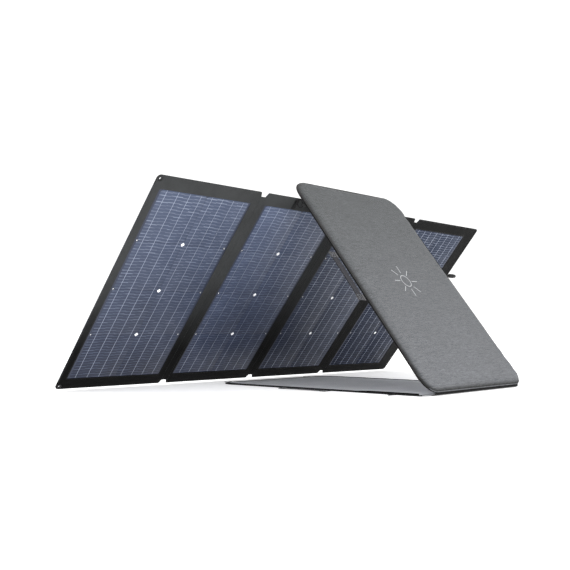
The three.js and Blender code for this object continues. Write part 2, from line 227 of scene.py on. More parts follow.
class Shape:
    """Collects points and faces in one working frame, then becomes one piece."""

    def __init__(self, plane):
        self.plane = plane
        self.points, self.flats, self.faces = [], [], []
        self.count = 0

    def add(self, points, faces, flat=None):
        points = np.asarray(points, float).reshape(-1, 3)
        self.points.append(points)
        self.flats.append(points if flat is None else np.asarray(flat, float).reshape(-1, 3))
        self.faces.extend(tuple(i + self.count for i in face) for face in faces)
        self.count += len(points)
        return self

    def grid(self, rows, wrap_rows=False, wrap_columns=False, caps=False, flat=None):
        """Quads between rows of points. Caps close the first and the last row."""
        rows = np.asarray(rows, float)
        r, c = rows.shape[:2]
        faces = []
        for i in range(r if wrap_rows else r - 1):
            for j in range(c if wrap_columns else c - 1):
                k, m = (i + 1) % r, (j + 1) % c
                faces.append((i * c + j, i * c + m, k * c + m, k * c + j))
        if caps:
            faces.append(tuple(range(c)))
            faces.append(tuple(range((r - 1) * c, r * c)))
        return self.add(rows, faces, flat)

    def sweep(self, path, profile, normal=(0, 0, 1), closed=False):
        """A closed profile (across, off) carried along a path, with off kept near normal."""
        path, profile = np.asarray(path, float), np.asarray(profile, float)
        ahead = np.roll(path, -1, 0) - np.roll(path, 1, 0)
        if not closed:
            ahead[0], ahead[-1] = path[1] - path[0], path[-1] - path[-2]
        ahead = unit(ahead)
        side = unit(np.cross(ahead, np.array(normal, float)))
        off = np.cross(side, ahead)
        rows = path[:, None] + side[:, None] * profile[:, :1] + off[:, None] * profile[:, 1:2]
        return self.grid(rows, wrap_rows=closed, wrap_columns=True, caps=not closed)

    def tube(self, path, radius, sides=10, normal=(0, 0, 1), closed=False):
        turn = np.linspace(0, 2 * np.pi, sides, endpoint=False)
        ring = np.stack([np.cos(turn), np.sin(turn)], 1) * radius
        return self.sweep(path, ring, normal, closed)

    def lathe(self, profile, centre, axis=(0, 0, 1), sides=40):
        """A profile of (radius, height) points turned about an axis. It is closed if its ends meet."""
        axis = unit(np.array(axis, float))
        across = unit(np.cross(axis, [0.31, 0.87, 0.12]))
        other = np.cross(axis, across)
        turn = np.linspace(0, 2 * np.pi, sides, endpoint=False)
        spokes = np.cos(turn)[:, None] * across + np.sin(turn)[:, None] * other
        rows = [np.array(centre) + h * axis + r * spokes for r, h in profile]
        ring = np.allclose(profile[0], profile[-1])
        return self.grid(rows[:-1] if ring else rows, wrap_rows=ring, wrap_columns=True, caps=not ring)

    def slab(self, outline, low, high, edge=0.4):
        """A flat plate over an outline, with its edges rounded over."""
        outline = np.asarray(outline, float)
        ahead = unit(np.roll(outline, -1, 0) - np.roll(outline, 1, 0))
        inwards = np.stack([-ahead[:, 1], ahead[:, 0]], 1)
        edge = min(edge, (high - low) / 2)
        turns = np.linspace(0, np.pi / 2, 4)
        rows = [(outline + inwards * edge * (1 - np.sin(t)), low + edge * (1 - np.cos(t))) for t in turns]
        rows += [(xy, high - (w - low)) for xy, w in reversed(rows)]
        return self.grid([raised(xy, w) for xy, w in rows], wrap_columns=True, caps=True)

    def beads(self, points, ahead, normal, length, width, height, shape=(0.35, 1, 1, 0.35)):
        """Small rounded lumps along a path, such as stitches and zip teeth."""
        normal = np.broadcast_to(np.array(normal, float), points.shape)
        side = unit(np.cross(ahead, normal))
        off = np.cross(side, ahead)
        turn = np.linspace(0, 2 * np.pi, BEAD_SIDES, endpoint=False)
        ring = np.stack([np.cos(turn) * width / 2, np.sin(turn) * height / 2], 1)
        spots = np.linspace(-0.5, 0.5, len(shape)) * length
        local = np.array([(t, a * s, b * s) for t, s in zip(spots, shape) for a, b in ring])
        for bead in points[:, None] + local @ np.stack([ahead, side, off], 1):
            self.grid(bead.reshape(len(shape), BEAD_SIDES, 3), wrap_columns=True, caps=True)
        return self

    def stitches(self, path, normal=(0, 0, 1), pitch=4.6, closed=False, thread=0.75):
        points, ahead = spread(path, pitch, closed)
        return self.beads(points, ahead, normal, pitch * 0.78, thread, thread * 0.8)

    def build(self, name, look, body=None, replaces=(), slot=None, sharp=38):
        mesh = bpy.data.meshes.new(name)
        mesh.from_pydata(self.plane.world(np.concatenate(self.points)).tolist(), [], self.faces)
        write_flat(mesh, np.concatenate(self.flats))
        return finish_piece(name, mesh, look, body, replaces, sharp)


def write_flat(mesh, flats):
    """Stores the flat coordinates that the materials read."""
    if "flat" in mesh.attributes:
        mesh.attributes.remove(mesh.attributes["flat"])
    flat = mesh.attributes.new("flat", "FLOAT_VECTOR", "POINT")
    flat.data.foreach_set("vector", (flats / MM).astype(np.float32).ravel())


def finish_piece(name, mesh, look, body=None, replaces=(), sharp=38):
    work = bmesh.new()
    work.from_mesh(mesh)
    bmesh.ops.recalc_face_normals(work, faces=work.faces)
    work.to_mesh(mesh)
    work.free()
    mesh.shade_smooth()
    mesh.set_sharp_from_angle(angle=math.radians(sharp))
    mesh.materials.append(look)
    obj = bpy.data.objects.new(name, mesh)
    bpy.context.scene.collection.objects.link(obj)
    if body:
        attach(obj, body)
    if replaces:
        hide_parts(*replaces)
    return obj


def outline(x0, x1, v0, v1, corners, long_steps=40, short_steps=22, corner_steps=7):
    """Anticlockwise outline from the lower right corner. A corner is a radius, or (x, v) of a chamfer."""
    def corner(cx, cv, sx, sv, kind, turn_from):
        if isinstance(kind, tuple):
            a, b = (cx - sx * kind[0], cv), (cx, cv - sv * kind[1])
            first, last = (a, b) if turn_from in (-90, 90) else (b, a)
            return list(np.linspace(first, last, corner_steps))
        turns = np.radians(np.linspace(turn_from, turn_from + 90, corner_steps))
        middle = np.array([cx - sx * kind, cv - sv * kind])
        return [middle + kind * np.array([math.cos(t), math.sin(t)]) for t in turns]

    parts = [
        corner(x1, v0, 1, -1, corners[0], -90),
        corner(x1, v1, 1, 1, corners[1], 0),
        corner(x0, v1, -1, 1, corners[2], 90),
        corner(x0, v0, -1, -1, corners[3], 180),
    ]
    points = []
    for k, part in enumerate(parts):
        points += part
        steps = long_steps if k % 2 == 0 else short_steps
        points += list(np.linspace(part[-1], parts[(k + 1) % 4][0], steps + 2)[1:-1])
    return np.array(points)


def rounded_box(x0, x1, v0, v1, radius, **steps):
    return outline(x0, x1, v0, v1, [radius] * 4, **steps)


def apply_modifiers(piece):
    graph = bpy.context.evaluated_depsgraph_get()
    mesh = bpy.data.meshes.new_from_object(piece.evaluated_get(graph))
    piece.modifiers.clear()
    piece.data = mesh


def cut_away(piece, plane, cutter):
    """Takes a shape out of a piece and gives the piece its flat coordinates again."""
    tool = cutter.build(f"{piece.name}_cutter", piece.data.materials[0])
    cut = piece.modifiers.new("cut", "BOOLEAN")
    cut.operation = "DIFFERENCE"
    cut.solver = "EXACT"
    cut.object = tool
    apply_modifiers(piece)
    write_flat(piece.data, plane.local([v.co for v in piece.data.vertices]))
    bpy.data.objects.remove(tool)


def drill(piece, plane, holes, radius):
    """Cuts round holes straight through a piece. Holes are (x, v) in the working frame."""
    cutter = Shape(plane)
    for x, v in holes:
        cutter.lathe([(radius, -DRILL_REACH), (radius, DRILL_REACH)], (x, v, 0), sides=28)
    cut_away(piece, plane, cutter)


# ---------------------------------------------------------------- materials
class Look:
    """A node material. Every helper returns an output socket."""

    def __init__(self, name, rough=0.6, metal=0.0, **sockets):
        self.material = bpy.data.materials.new(name)
        self.material.use_nodes = True
        self.tree = self.material.node_tree
        self.shader = self.tree.nodes["Principled BSDF"]
        self.shader.inputs["Roughness"].default_value = rough
        self.shader.inputs["Metallic"].default_value = metal
        for key, value in sockets.items():
            self.shader.inputs[key.replace("_", " ")].default_value = value
        self.flat = None

    def node(self, kind, settings=None, **inputs):
        made = self.tree.nodes.new(kind)
        for key, value in (settings or {}).items():
            setattr(made, key, value)
        for key, value in inputs.items():
            key = int(key[1:]) if key[0] == "i" and key[1:].isdigit() else key.replace("_", " ")
            if isinstance(value, bpy.types.NodeSocket):
                self.tree.links.new(value, made.inputs[key])
            else:
                made.inputs[key].default_value = value
        return made

    def place(self):
        """The piece's own flat coordinates, in metres."""
        if self.flat is None:
            self.flat = self.node("ShaderNodeAttribute", {"attribute_name": "flat"}).outputs["Vector"]
        return self.flat

    def axes(self):
        """How far along and how far up the working frame a point is, in metres."""
        split = self.node("ShaderNodeSeparateXYZ", None, Vector=self.place())
        return split.outputs[0], split.outputs[1]

    def body_place(self):
        return self.node("ShaderNodeTexCoord").outputs["Object"]

    def scaled(self, vector, scale):
        return self.node("ShaderNodeVectorMath", {"operation": "MULTIPLY"}, i0=vector, i1=scale).outputs[0]

    def math(self, operation, a, b=0.0, c=0.0):
        return self.node("ShaderNodeMath", {"operation": operation}, i0=a, i1=b, i2=c).outputs[0]

    def noise(self, vector, scale, detail=3.0, rough=0.55):
        inputs = {"Vector": vector, "Scale": scale, "Detail": detail, "Roughness": rough}
        return self.node("ShaderNodeTexNoise", None, **inputs).outputs["Fac"]

    def waves(self, vector, scale, axis, distortion=0.0):
        settings = {"wave_type": "BANDS", "bands_direction": axis, "wave_profile": "SIN"}
        made = self.node("ShaderNodeTexWave", settings, Vector=vector, Scale=scale, Distortion=distortion)
        return made.outputs["Fac"]

    def weave(self, scale, distortion):
        """Crossing threads, as a height for bump."""
        warp, weft = (self.waves(self.place(), scale, axis, distortion) for axis in "XY")
        return self.math("ADD", warp, weft)

    def remap(self, value, low, high, to_low, to_high):
        inputs = {"i0": value, "i1": low, "i2": high, "i3": to_low, "i4": to_high}
        return self.node("ShaderNodeMapRange", None, **inputs).outputs[0]

    def mix(self, share, a, b):
        made = self.node("ShaderNodeMix", {"data_type": "RGBA"})
        for index, value in ((0, share), (6, a), (7, b)):
            if isinstance(value, bpy.types.NodeSocket):
                self.tree.links.new(value, made.inputs[index])
            else:
                made.inputs[index].default_value = value if index == 0 else (*value, 1)
        return made.outputs[2]

    def colour(self, socket):
        self.tree.links.new(socket, self.shader.inputs["Base Color"])

    def rough(self, socket):
        self.tree.links.new(socket, self.shader.inputs["Roughness"])

    def bump(self, height, distance, strength=0.6):
        made = self.node("ShaderNodeBump", None, Height=height, Distance=distance, Strength=strength)
        self.tree.links.new(made.outputs["Normal"], self.shader.inputs["Normal"])


def heathered_fabric():
    """Grey polyester with darker and lighter yarns across it. Painted light makes it paler towards the foot, and
    painted shade makes it black at the rim.
    """
    look = Look("heathered_fabric", rough=0.92, Sheen_Weight=0.12, Sheen_Roughness=0.5)
    place = look.place()
    yarns = look.noise(look.scaled(place, (1, 9, 1)), 42, 5, 0.8)
    threads = look.noise(look.scaled(place, (1, 3, 1)), 150, 3, 0.75)
    specks = look.noise(look.scaled(place, (2.5, 1, 1)), 420, 2, 0.6)
    patches = look.noise(place, 3.2, 3, 0.5)
    streak = look.math("MULTIPLY_ADD", look.remap(yarns, 0.4, 0.6, 0, 1), 0.5,
                       look.math("MULTIPLY", look.remap(threads, 0.4, 0.6, 0, 1), 0.35))
    value = look.math("MULTIPLY_ADD", look.remap(specks, 0.35, 0.65, 0, 1), 0.2, streak)
    # Painted light: the yarn colours are paler towards the foot of the piece and darker further up it.
    painted_foot_light = look.remap(look.axes()[1], 0.05, 0.85, 1, 0)
    dark_yarn = look.mix(painted_foot_light, (0.011, 0.013, 0.0135), (0.042, 0.046, 0.052))
    light_yarn = look.mix(painted_foot_light, (0.09, 0.097, 0.101), (0.205, 0.213, 0.229))
    body = look.mix(value, dark_yarn, light_yarn)
    worn = look.mix(look.remap(patches, 0.4, 0.65, 0, 0.3), body, (0.095, 0.098, 0.105))
    # Painted shade: the rim attribute turns the cover black round its edge, where its side is in shade, and on its
    # hidden back.
    rim = look.node("ShaderNodeAttribute", {"attribute_name": "rim"}).outputs["Fac"]
    look.colour(look.mix(rim, worn, (0.009, 0.009, 0.0095)))
    look.rough(look.remap(specks, 0.3, 0.7, 0.84, 0.98))
    look.bump(look.math("MULTIPLY_ADD", threads, 1.5, look.weave(330, 0.6)), 0.0006, 0.55)
    return look.material


def coated_fabric(name, dark, light, rough, upper=None):
    """Black coated cloth with a low, uneven sheen. With upper, a painted sheen makes it lighter towards the near
    top corner.
    """
    look = Look(name, rough=rough, Specular_IOR_Level=0.07)
    place = look.place()
    cloud = look.noise(place, 9, 4, 0.6)
    grain = look.noise(place, 900, 2, 0.5)
    body = look.mix(look.remap(cloud, 0.35, 0.7, 0, 1), dark, light)
    if upper:
        # Painted sheen: the cloth turns lighter towards the top and the near end, standing in for reflected light.
        along, up = look.axes()
        high = look.remap(up, 0.16, 0.5, 0, 1)
        painted_sheen = look.math("MULTIPLY", high, look.remap(along, -0.45, 0.35, 0.05, 1))
        body = look.mix(look.math("MULTIPLY", painted_sheen, look.remap(cloud, 0.3, 0.7, 0.75, 1.1)), body, upper)
    look.colour(body)
    look.rough(look.remap(cloud, 0.3, 0.7, rough - 0.05, rough + 0.08))
    look.bump(look.math("MULTIPLY_ADD", grain, 0.8, look.weave(300, 0.3)), 0.00035, 0.4)
    return look.material


def lining_cloth():
    """Smooth light grey lining with a soft silvery cast, painted lighter towards the hinge."""
    look = Look("lining_cloth", rough=0.62, Sheen_Weight=0.35, Sheen_Roughness=0.35)
    place = look.place()
    cloud = look.noise(place, 4.5, 3, 0.5)
    yarns = look.noise(look.scaled(place, (1, 12, 1)), 120, 3, 0.6)
    base = look.mix(look.remap(cloud, 0.35, 0.7, 0, 1), (0.5, 0.51, 0.53), (0.62, 0.63, 0.65))
    # Painted light: the lining turns lighter towards the hinge, where more light falls on it.
    base = look.mix(look.remap(look.axes()[1], 0.36, 0.05, 0, 1), base, (0.8, 0.81, 0.84))
    look.colour(look.mix(look.remap(yarns, 0.35, 0.7, 0, 0.3), base, (0.38, 0.387, 0.405)))
    look.rough(look.remap(yarns, 0.3, 0.7, 0.55, 0.72))
    look.bump(look.weave(420, 0.2), 0.0003, 0.35)
    return look.material


def webbing_cloth(name, dark, light):
    """Ribbed webbing, with its ribs across the strap and dark edges."""
    look = Look(name, rough=0.85, Sheen_Weight=0.12, Sheen_Roughness=0.4, Specular_IOR_Level=0.25)
    place = look.place()
    ribs = look.waves(place, 190, "Y", 0.4)
    warp = look.waves(place, 110, "X", 0.8)
    fuzz = look.noise(place, 520, 3, 0.6)
    shade = look.math("MULTIPLY_ADD", ribs, 0.55, look.math("MULTIPLY", fuzz, 0.6))
    body = look.mix(look.remap(shade, 0.2, 0.85, 0, 1), dark, light)
    off_middle = look.math("ABSOLUTE", look.axes()[0])
    selvedge = look.remap(off_middle, SELVEDGE[0] / MM, SELVEDGE[1] / MM, 0, 1)
    look.colour(look.mix(selvedge, body, tuple(0.3 * c for c in dark)))
    look.bump(look.math("MULTIPLY_ADD", warp, 0.6, ribs), 0.0007, 0.7)
    return look.material


def cell_glaze(name, shade):
    """Dark blue cells under a satin film, with fine pale finger lines, both painted lighter towards the top. A
    lower shade makes them darker and less glossy: painted shade.
    """
    def tint(*rgb, share=shade):
        return tuple(share * c for c in rgb)

    gloss = min(1.0, (shade - 0.4) / 0.6)
    look = Look(name, rough=0.46, Coat_Weight=0.08 * gloss, Coat_Roughness=0.3,
                Specular_IOR_Level=0.3 * gloss)
    place = look.place()
    across, up = look.axes()
    column = look.math("FLOOR", look.math("DIVIDE", across, CELL_PITCH / RIBBONS_PER_CELL / MM))
    line = look.math("DIVIDE", up, FINGER_PITCH / MM)
    shifted = look.math("MULTIPLY_ADD", look.math("MODULO", column, 2.0), BRICK_SHIFT, line)
    row = look.math("FLOOR", shifted)
    off = look.math("ABSOLUTE", look.math("SUBTRACT", look.math("FRACT", shifted), 0.5))
    stripe = look.node("ShaderNodeMapRange", {"interpolation_type": "SMOOTHSTEP"},
                       i0=off, i1=0.07, i2=0.19, i3=1.0, i4=0.0).outputs[0]
    spot = look.node("ShaderNodeCombineXYZ", None, X=column, Y=row).outputs[0]
    chance = look.node("ShaderNodeTexWhiteNoise", {"noise_dimensions": "2D"}, Vector=spot).outputs["Value"]
    dash = look.noise(look.scaled(place, (1, 2.5, 1)), 34, 2, 0.6)
    strength = look.math("MULTIPLY", look.remap(chance, 0, 1, 0.4, 1.0),
                         look.remap(dash, 0.36, 0.6, 0.3, 1.0))
    lines = look.math("MULTIPLY", stripe, strength)
    cloud = look.noise(place, 5.5, 3, 0.6)
    # Painted light: the cells turn lighter towards the top, with a random cloud through it.
    cloud_and_painted_light = look.math("MULTIPLY_ADD", up, 0.7, look.math("MULTIPLY", cloud, 0.35))
    fleck = look.noise(look.scaled(place, (1, 4, 1)), 140, 2, 0.6)
    base = look.mix(look.remap(cloud_and_painted_light, 0.15, 0.66, 0, 1), tint(0.006, 0.01, 0.028),
                    tint(0.062, 0.08, 0.135))
    base = look.mix(look.remap(fleck, 0.45, 0.75, 0, 0.35), base, tint(0.075, 0.09, 0.14))
    soft = math.sqrt(shade)
    # Painted light: the finger lines also turn lighter towards the top, and dim with the section's painted shade.
    lit = look.mix(look.remap(up, 0.0, 0.7, 0, 1), tint(0.1, 0.12, 0.19, share=soft),
                   tint(0.26, 0.3, 0.39, share=soft))
    look.colour(look.mix(lines, base, lit))
    look.rough(look.remap(cloud, 0.3, 0.7, 0.42, 0.52))
    fingers = look.waves(place, 240, "Y")
    look.bump(look.math("MULTIPLY_ADD", fingers, 0.5, look.noise(place, 60, 2, 0.5)), 0.00025, 0.25)
    return look.material


def film():
    """The laminate's film: dark between the cells, white in the gaps where cell corners meet, where it glows as
    painted light.
    """
    look = Look("laminate_film", rough=0.42, Coat_Weight=0.08, Coat_Roughness=0.3, Specular_IOR_Level=0.3)
    across, up = look.axes()
    width, height = CELL_COLUMNS * CELL_PITCH / MM, CELL_ROWS * CELL_PITCH / MM

    def off_junction(value):
        steps = look.math("DIVIDE", value, CELL_PITCH / MM)
        share = look.math("SUBTRACT", look.math("FRACT", look.math("ADD", steps, 0.5)), 0.5)
        return look.math("MULTIPLY", look.math("ABSOLUTE", share), CELL_PITCH)

    def inside(value, margin, size):
        return look.math("MULTIPLY", look.math("GREATER_THAN", value, margin),
                         look.math("LESS_THAN", value, size - margin))

    away = look.math("ADD", off_junction(across), off_junction(up))
    rows = inside(up, CELL_PITCH / 2 / MM, height)
    middle = look.math("MULTIPLY", look.math("LESS_THAN", away, CELL_CHAMFER + 1.2),
                       inside(across, CELL_PITCH / 2 / MM, width))
    side = look.math("MULTIPLY", look.math("LESS_THAN", away, CELL_CHAMFER - 3.3), inside(across, 0, width))
    mask = look.math("MULTIPLY", rows, look.math("MAXIMUM", middle, side))
    grain = look.noise(look.place(), 300, 2, 0.5)
    dark = look.mix(grain, (0.03, 0.036, 0.06), (0.045, 0.053, 0.085))
    look.colour(look.mix(mask, dark, (0.93, 0.94, 0.95)))
    # Painted light: the white gaps glow, standing in for light shining through them.
    painted_gap_glow = look.mix(mask, (0, 0, 0), (1, 1, 1))
    look.tree.links.new(painted_gap_glow, look.shader.inputs["Emission Color"])
    look.shader.inputs["Emission Strength"].default_value = 0.4
    look.bump(grain, 0.0002, 0.2)
    return look.material


def metal(name, tint, rough, streak=(1, 1, 14)):
    look = Look(name, rough=rough, metal=1.0)
    place = look.place()
    scratch = look.noise(look.scaled(place, streak), 420, 4, 0.65)
    cloud = look.noise(place, 90, 2, 0.5)
    low = tuple(0.8 * c for c in tint)
    look.colour(look.mix(look.remap(scratch, 0.3, 0.7, 0, 1), low, tint))
    look.rough(look.remap(cloud, 0.3, 0.7, rough - 0.07, rough + 0.12))
    look.bump(scratch, 0.0002, 0.18)
    return look.material


def moulded(name, tint, rough=0.48, own=True):
    """Moulded plastic with a fine spark-eroded texture."""
    look = Look(name, rough=rough, Specular_IOR_Level=0.2)
    place = look.place() if own else look.body_place()
    grain = look.noise(place, 1400, 3, 0.6)
    cloud = look.noise(place, 40, 3, 0.5)
    high = tuple(1.8 * c + 0.002 for c in tint)
    look.colour(look.mix(look.remap(cloud, 0.35, 0.7, 0, 1), tint, high))
    look.rough(look.remap(grain, 0.3, 0.7, rough - 0.06, rough + 0.1))
    look.bump(grain, 0.00025, 0.4)
    return look.material


def thread(name, tint):
    look = Look(name, rough=0.75, Sheen_Weight=0.2)
    twist = look.noise(look.place(), 1200, 2, 0.6)
    look.colour(look.mix(twist, tuple(0.65 * c for c in tint), tint))
    look.bump(twist, 0.0002, 0.5)
    return look.material


HEATHER = heathered_fabric()
# The upper colour is a painted sheen on the borders, lighter towards their near top corner.
COATED = coated_fabric("coated_fabric", (0.001, 0.001, 0.001), (0.0025, 0.0026, 0.0026), 0.62,
                       upper=(0.052, 0.054, 0.055))
BINDING = coated_fabric("black_binding", (0.005, 0.005, 0.0052), (0.011, 0.011, 0.0115), 0.65)
LINING = lining_cloth()
WEBBING = webbing_cloth("grey_webbing", (0.007, 0.007, 0.01), (0.022, 0.022, 0.031))
WEBBING_END = webbing_cloth("grey_webbing_end", (0.05, 0.05, 0.054), (0.16, 0.157, 0.16))
BLACK_WEBBING = webbing_cloth("black_webbing", (0.008, 0.008, 0.009), (0.028, 0.028, 0.031))
CELLS = {n: cell_glaze(f"cell_glaze_{n}", shade) for n, shade in SECTION_PAINTED_SHADES.items()}
FILM = film()
RIBBON = metal("tinned_ribbon", (0.5, 0.54, 0.66), 0.42, (14, 1, 1))
NICKEL = metal("nickel", (0.74, 0.74, 0.73), 0.24)
BLACK_NICKEL = metal("black_nickel", (0.045, 0.045, 0.047), 0.3)
ZIP_BLACK = moulded("zip_coil", (0.01, 0.01, 0.011), 0.42)
PLASTIC = moulded("moulded_black", (0.006, 0.006, 0.0065))
PLASTIC_CAD = moulded("moulded_black_shell", (0.006, 0.006, 0.0065), own=False)
BOARD = moulded("stiffener_board", (0.045, 0.046, 0.05), 0.62, own=False)
CIRCUIT = moulded("circuit_board", (0.012, 0.07, 0.028), 0.4, own=False)
BLACK_THREAD = thread("black_thread", (0.035, 0.035, 0.037))
GREY_THREAD = thread("grey_thread", (0.3, 0.305, 0.315))
PALE_THREAD = thread("pale_thread", (0.5, 0.51, 0.53))
PRINT = thread("pale_print", (0.5, 0.51, 0.53))


# ---------------------------------------------------------------- panel sections
def section_edges(number):
    low, high = PANEL.span(f"section_{number}_rear_border")
    return low[0], high[0]


def section_loop(number, inset, near_corner=None, **steps):
    """Outline of a section, moved in by inset: chamfered at its folds, rounded at its free corners."""
    x0, x1 = section_edges(number)
    free = max(CORNER_RADIUS - inset, 0.5)
    right = NOTCH if number > 1 else near_corner or free
    left = NOTCH if number < 4 else free
    corners = [right, right, left, left]
    return outline(x0 + inset, x1 - inset, inset, PANEL_HEIGHT - inset, corners, **steps)


def window_edges(number):
    x1 = section_edges(number)[1] + (FOLD_HALF_WIDTH if number > 1 else 0)
    right = x1 - WINDOW_OFFSETS[number - 1]
    return right - WINDOW_WIDTH, right, WINDOW_BOTTOM, WINDOW_BOTTOM + CELL_ROWS * CELL_PITCH


def eyelet_spots():
    return {name: tuple(PANEL.middle(name)) for name in ("eyelet_near_bottom", "eyelet_near_top")}


def make_border(number, side):
    """The coated fabric frame on one face: turned hem, two sewn lines and a soft swell between them."""
    base, sign = (0.75, -1) if side == "rear" else (3.25, 1)
    window = window_edges(number)

    def outer(inset):
        return section_loop(number, inset)

    def inner(grow):
        x0, x1, v0, v1 = window
        return rounded_box(x0 - grow, x1 + grow, v0 - grow, v1 + grow, WINDOW_RADIUS + grow)

    rings = [(outer(i), h) for i, h in
             ((0.5, 0.02), (0.0, 0.35), (0.4, 0.78), (1.8, 0.92), (3.4, 0.6), (5.0, 0.9), (6.6, 0.78))]
    middle = (outer(6.6) + inner(6.2)) / 2
    rings.append((middle, 0.86))
    rings += [(inner(g), h) for g, h in
              ((6.2, 0.78), (4.9, 0.85), (3.6, 0.6), (2.2, 0.85), (0.8, 0.8), (0.0, 0.4), (0.3, 0.02))]
    rows = []
    for xy, h in rings:
        ripple = np.array([noise.noise(Vector((x / 38, v / 38, number))) for x, v in xy])
        height = h + 0.14 * ripple * (h > 0.5)
        rows.append(np.column_stack([xy, base + sign * height]))
    shape = Shape(PANEL).grid(rows, wrap_rows=True, wrap_columns=True)
    node = f"section_{number}_{side}_border"
    border = shape.build(f"{side}_frame_{number}", COATED, f"section_{number}", [node], "trim_fabric")
    if number == 1:
        drill(border, PANEL, eyelet_spots().values(), EYELET_HOLE_RADIUS)

    sewn = Shape(PANEL)
    for loop in (outer(3.4), inner(3.6)):
        sewn.stitches(raised(loop, base + sign * 0.72), (0, 0, sign), closed=True)
    sewn.build(f"{side}_stitches_{number}", BLACK_THREAD, f"section_{number}", slot="trim_fabric")


def cell_outline(left, low, side):
    """A square with its corners cut off, anticlockwise, with a point in the middle of each side."""
    half = side / 2
    a, b = half - CELL_CHAMFER, half
    quarter = np.array([(-a, -b), (0, -b), (a, -b)])
    turned = quarter[:, ::-1] * (-1, 1)
    return np.vstack([quarter, turned, -quarter, -turned]) + [left + half, low + half]


def make_laminate(number):
    """Film, the cells in it and the tinned ribbons on the cells, on both faces."""
    body, node = f"section_{number}", f"section_{number}_laminate"
    x0, x1, v0, _ = window_edges(number)
    middle = (x0 + x1) / 2
    corner = np.array([middle - CELL_COLUMNS / 2 * CELL_PITCH, v0, 0])

    base = Shape(PANEL).slab(section_loop(number, 0.9, LAMINATE_CORNER_CUT), *LAMINATE, 0.3)
    base.flats = [base.points[0] - corner]
    base.build(f"laminate_{number}", FILM, body, [node], "cell_laminate")

    cells, ribbons = Shape(PANEL), Shape(PANEL)
    for column in range(CELL_COLUMNS):
        for row in range(CELL_ROWS):
            left = corner[0] + column * CELL_PITCH + CELL_GAP / 2
            low = v0 + row * CELL_PITCH + CELL_GAP / 2
            side = CELL_PITCH - CELL_GAP
            shape = cell_outline(left, low, side)
            for bottom, top in ((0.78, LAMINATE[0] - 0.03), (LAMINATE[1] + 0.03, 3.22)):
                cells.slab(shape, bottom, top, 0.12)
                cells.flats[-1] = cells.points[-1] - corner
    spacing = CELL_PITCH / RIBBONS_PER_CELL
    for index in range(CELL_COLUMNS * RIBBONS_PER_CELL):
        x = corner[0] + (index + 0.5) * spacing
        for bottom, top in ((0.62, 0.77), (3.23, 3.38)):
            box = rounded_box(x - 0.75, x + 0.75, v0 + 2, v0 + CELL_ROWS * CELL_PITCH - 2, 0.3,
                              long_steps=2, short_steps=0, corner_steps=2)
            ribbons.slab(box, bottom, top, 0.06)
    cells.build(f"cells_{number}", CELLS[number], body, slot="cell_laminate")
    ribbons.build(f"ribbons_{number}", RIBBON, body, slot="cell_laminate")


def make_eyelets():
    rear = [(4.5, -0.55), (4.9, -0.95), (6.0, -1.15), (7.4, -1.0), (8.5, -0.45), (8.3, -0.3), (5.5, -0.3)]
    ring = rear + [(r, 4.0 - w) for r, w in reversed(rear)]
    for name, spot in eyelet_spots().items():
        shape = Shape(PANEL).lathe(ring + ring[:1], (*spot, 0), sides=44)
        shape.build(f"{name}_grommet", BLACK_NICKEL, "section_1", [name], "black_metal", sharp=60)


def make_fold(name, number):
    """Flexible cloth strip across a fold."""
    low, high = PANEL.span(name)
    middle = (low[0] + high[0]) / 2
    half = FOLD_HALF_WIDTH - 0.05
    across = np.linspace(-half, half, 23)
    along = np.linspace(low[1], high[1], 150)
    ridge = np.cos(np.pi * across / half * 2)
    rows = []
    for v in along:
        sway = 0.12 * noise.noise(Vector((v / 25, number, 0)))
        line = np.column_stack([middle + across, np.full(len(across), v)])
        rear = np.column_stack([line, 0.112 * ridge - 0.07 + sway])
        front = np.column_stack([line, 0.056 * ridge + 1.1 + sway])
        rows.append(np.vstack([rear, front[::-1]]))
    strip = Shape(PANEL).grid(rows, wrap_columns=True, caps=True)
    piece = strip.build(f"{name}_cloth", COATED, None, [name], "trim_fabric")
    near, far = (PANEL.world([(middle + side * half, 400, 0)])[0] for side in (1, -1))
    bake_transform(piece)


# ---------------------------------------------------------------- rear half of the case
def case_rows(start, end, foot_radius, top_radius, half, extra=()):
    """Heights and half widths of rows across a rounded case outline, closer together in its corners."""
    turns = np.radians(np.linspace(0, 90, 15))
    low = start + foot_radius * (1 - np.cos(turns))
    high = end - top_radius * (1 - np.cos(turns))
    middle = np.linspace(start + foot_radius, end - top_radius, 68)[1:-1]
    rows = np.array(sorted({*low.round(3), *middle.round(3), *high.round(3), *extra}))
    widths = np.full(len(rows), float(half))
    foot = np.clip(start + foot_radius - rows, 0, foot_radius)
    top = np.clip(rows - (end - top_radius), 0, top_radius)
    widths -= foot_radius - np.sqrt(foot_radius**2 - foot**2)
    widths -= top_radius - np.sqrt(top_radius**2 - top**2)
    return rows, widths


def case_depth(x, v, start, end, foot_radius, top_radius, half):
    """Distance in from the rounded outline."""
    radius = np.where(v < (start + end) / 2, foot_radius, top_radius)
    qx = np.abs(x) - (half - radius)
    qv = np.abs(v - (start + end) / 2) - ((end - start) / 2 - radius)
    out = np.hypot(np.maximum(qx, 0), np.maximum(qv, 0)) + np.minimum(np.maximum(qx, qv), 0)
    return np.maximum(radius - out, 0)


def pad_columns(half):
    edge = np.array([0, 0.5, 1.6, 3.4, 6, 9, 13])
    inner = np.linspace(-1, 1, 61)
    body = inner * (half - 20)
    return np.concatenate([-half + edge, body, half - edge[::-1]])


def case_grid(start, end, foot_radius, top_radius, half, extra=()):
    rows, widths = case_rows(start, end, foot_radius, top_radius, half, extra)
    x = np.array([pad_columns(w) for w in widths])
    v = np.repeat(rows[:, None], x.shape[1], 1)
    return rows, x, v, case_depth(x, v, start, end, foot_radius, top_radius, half)


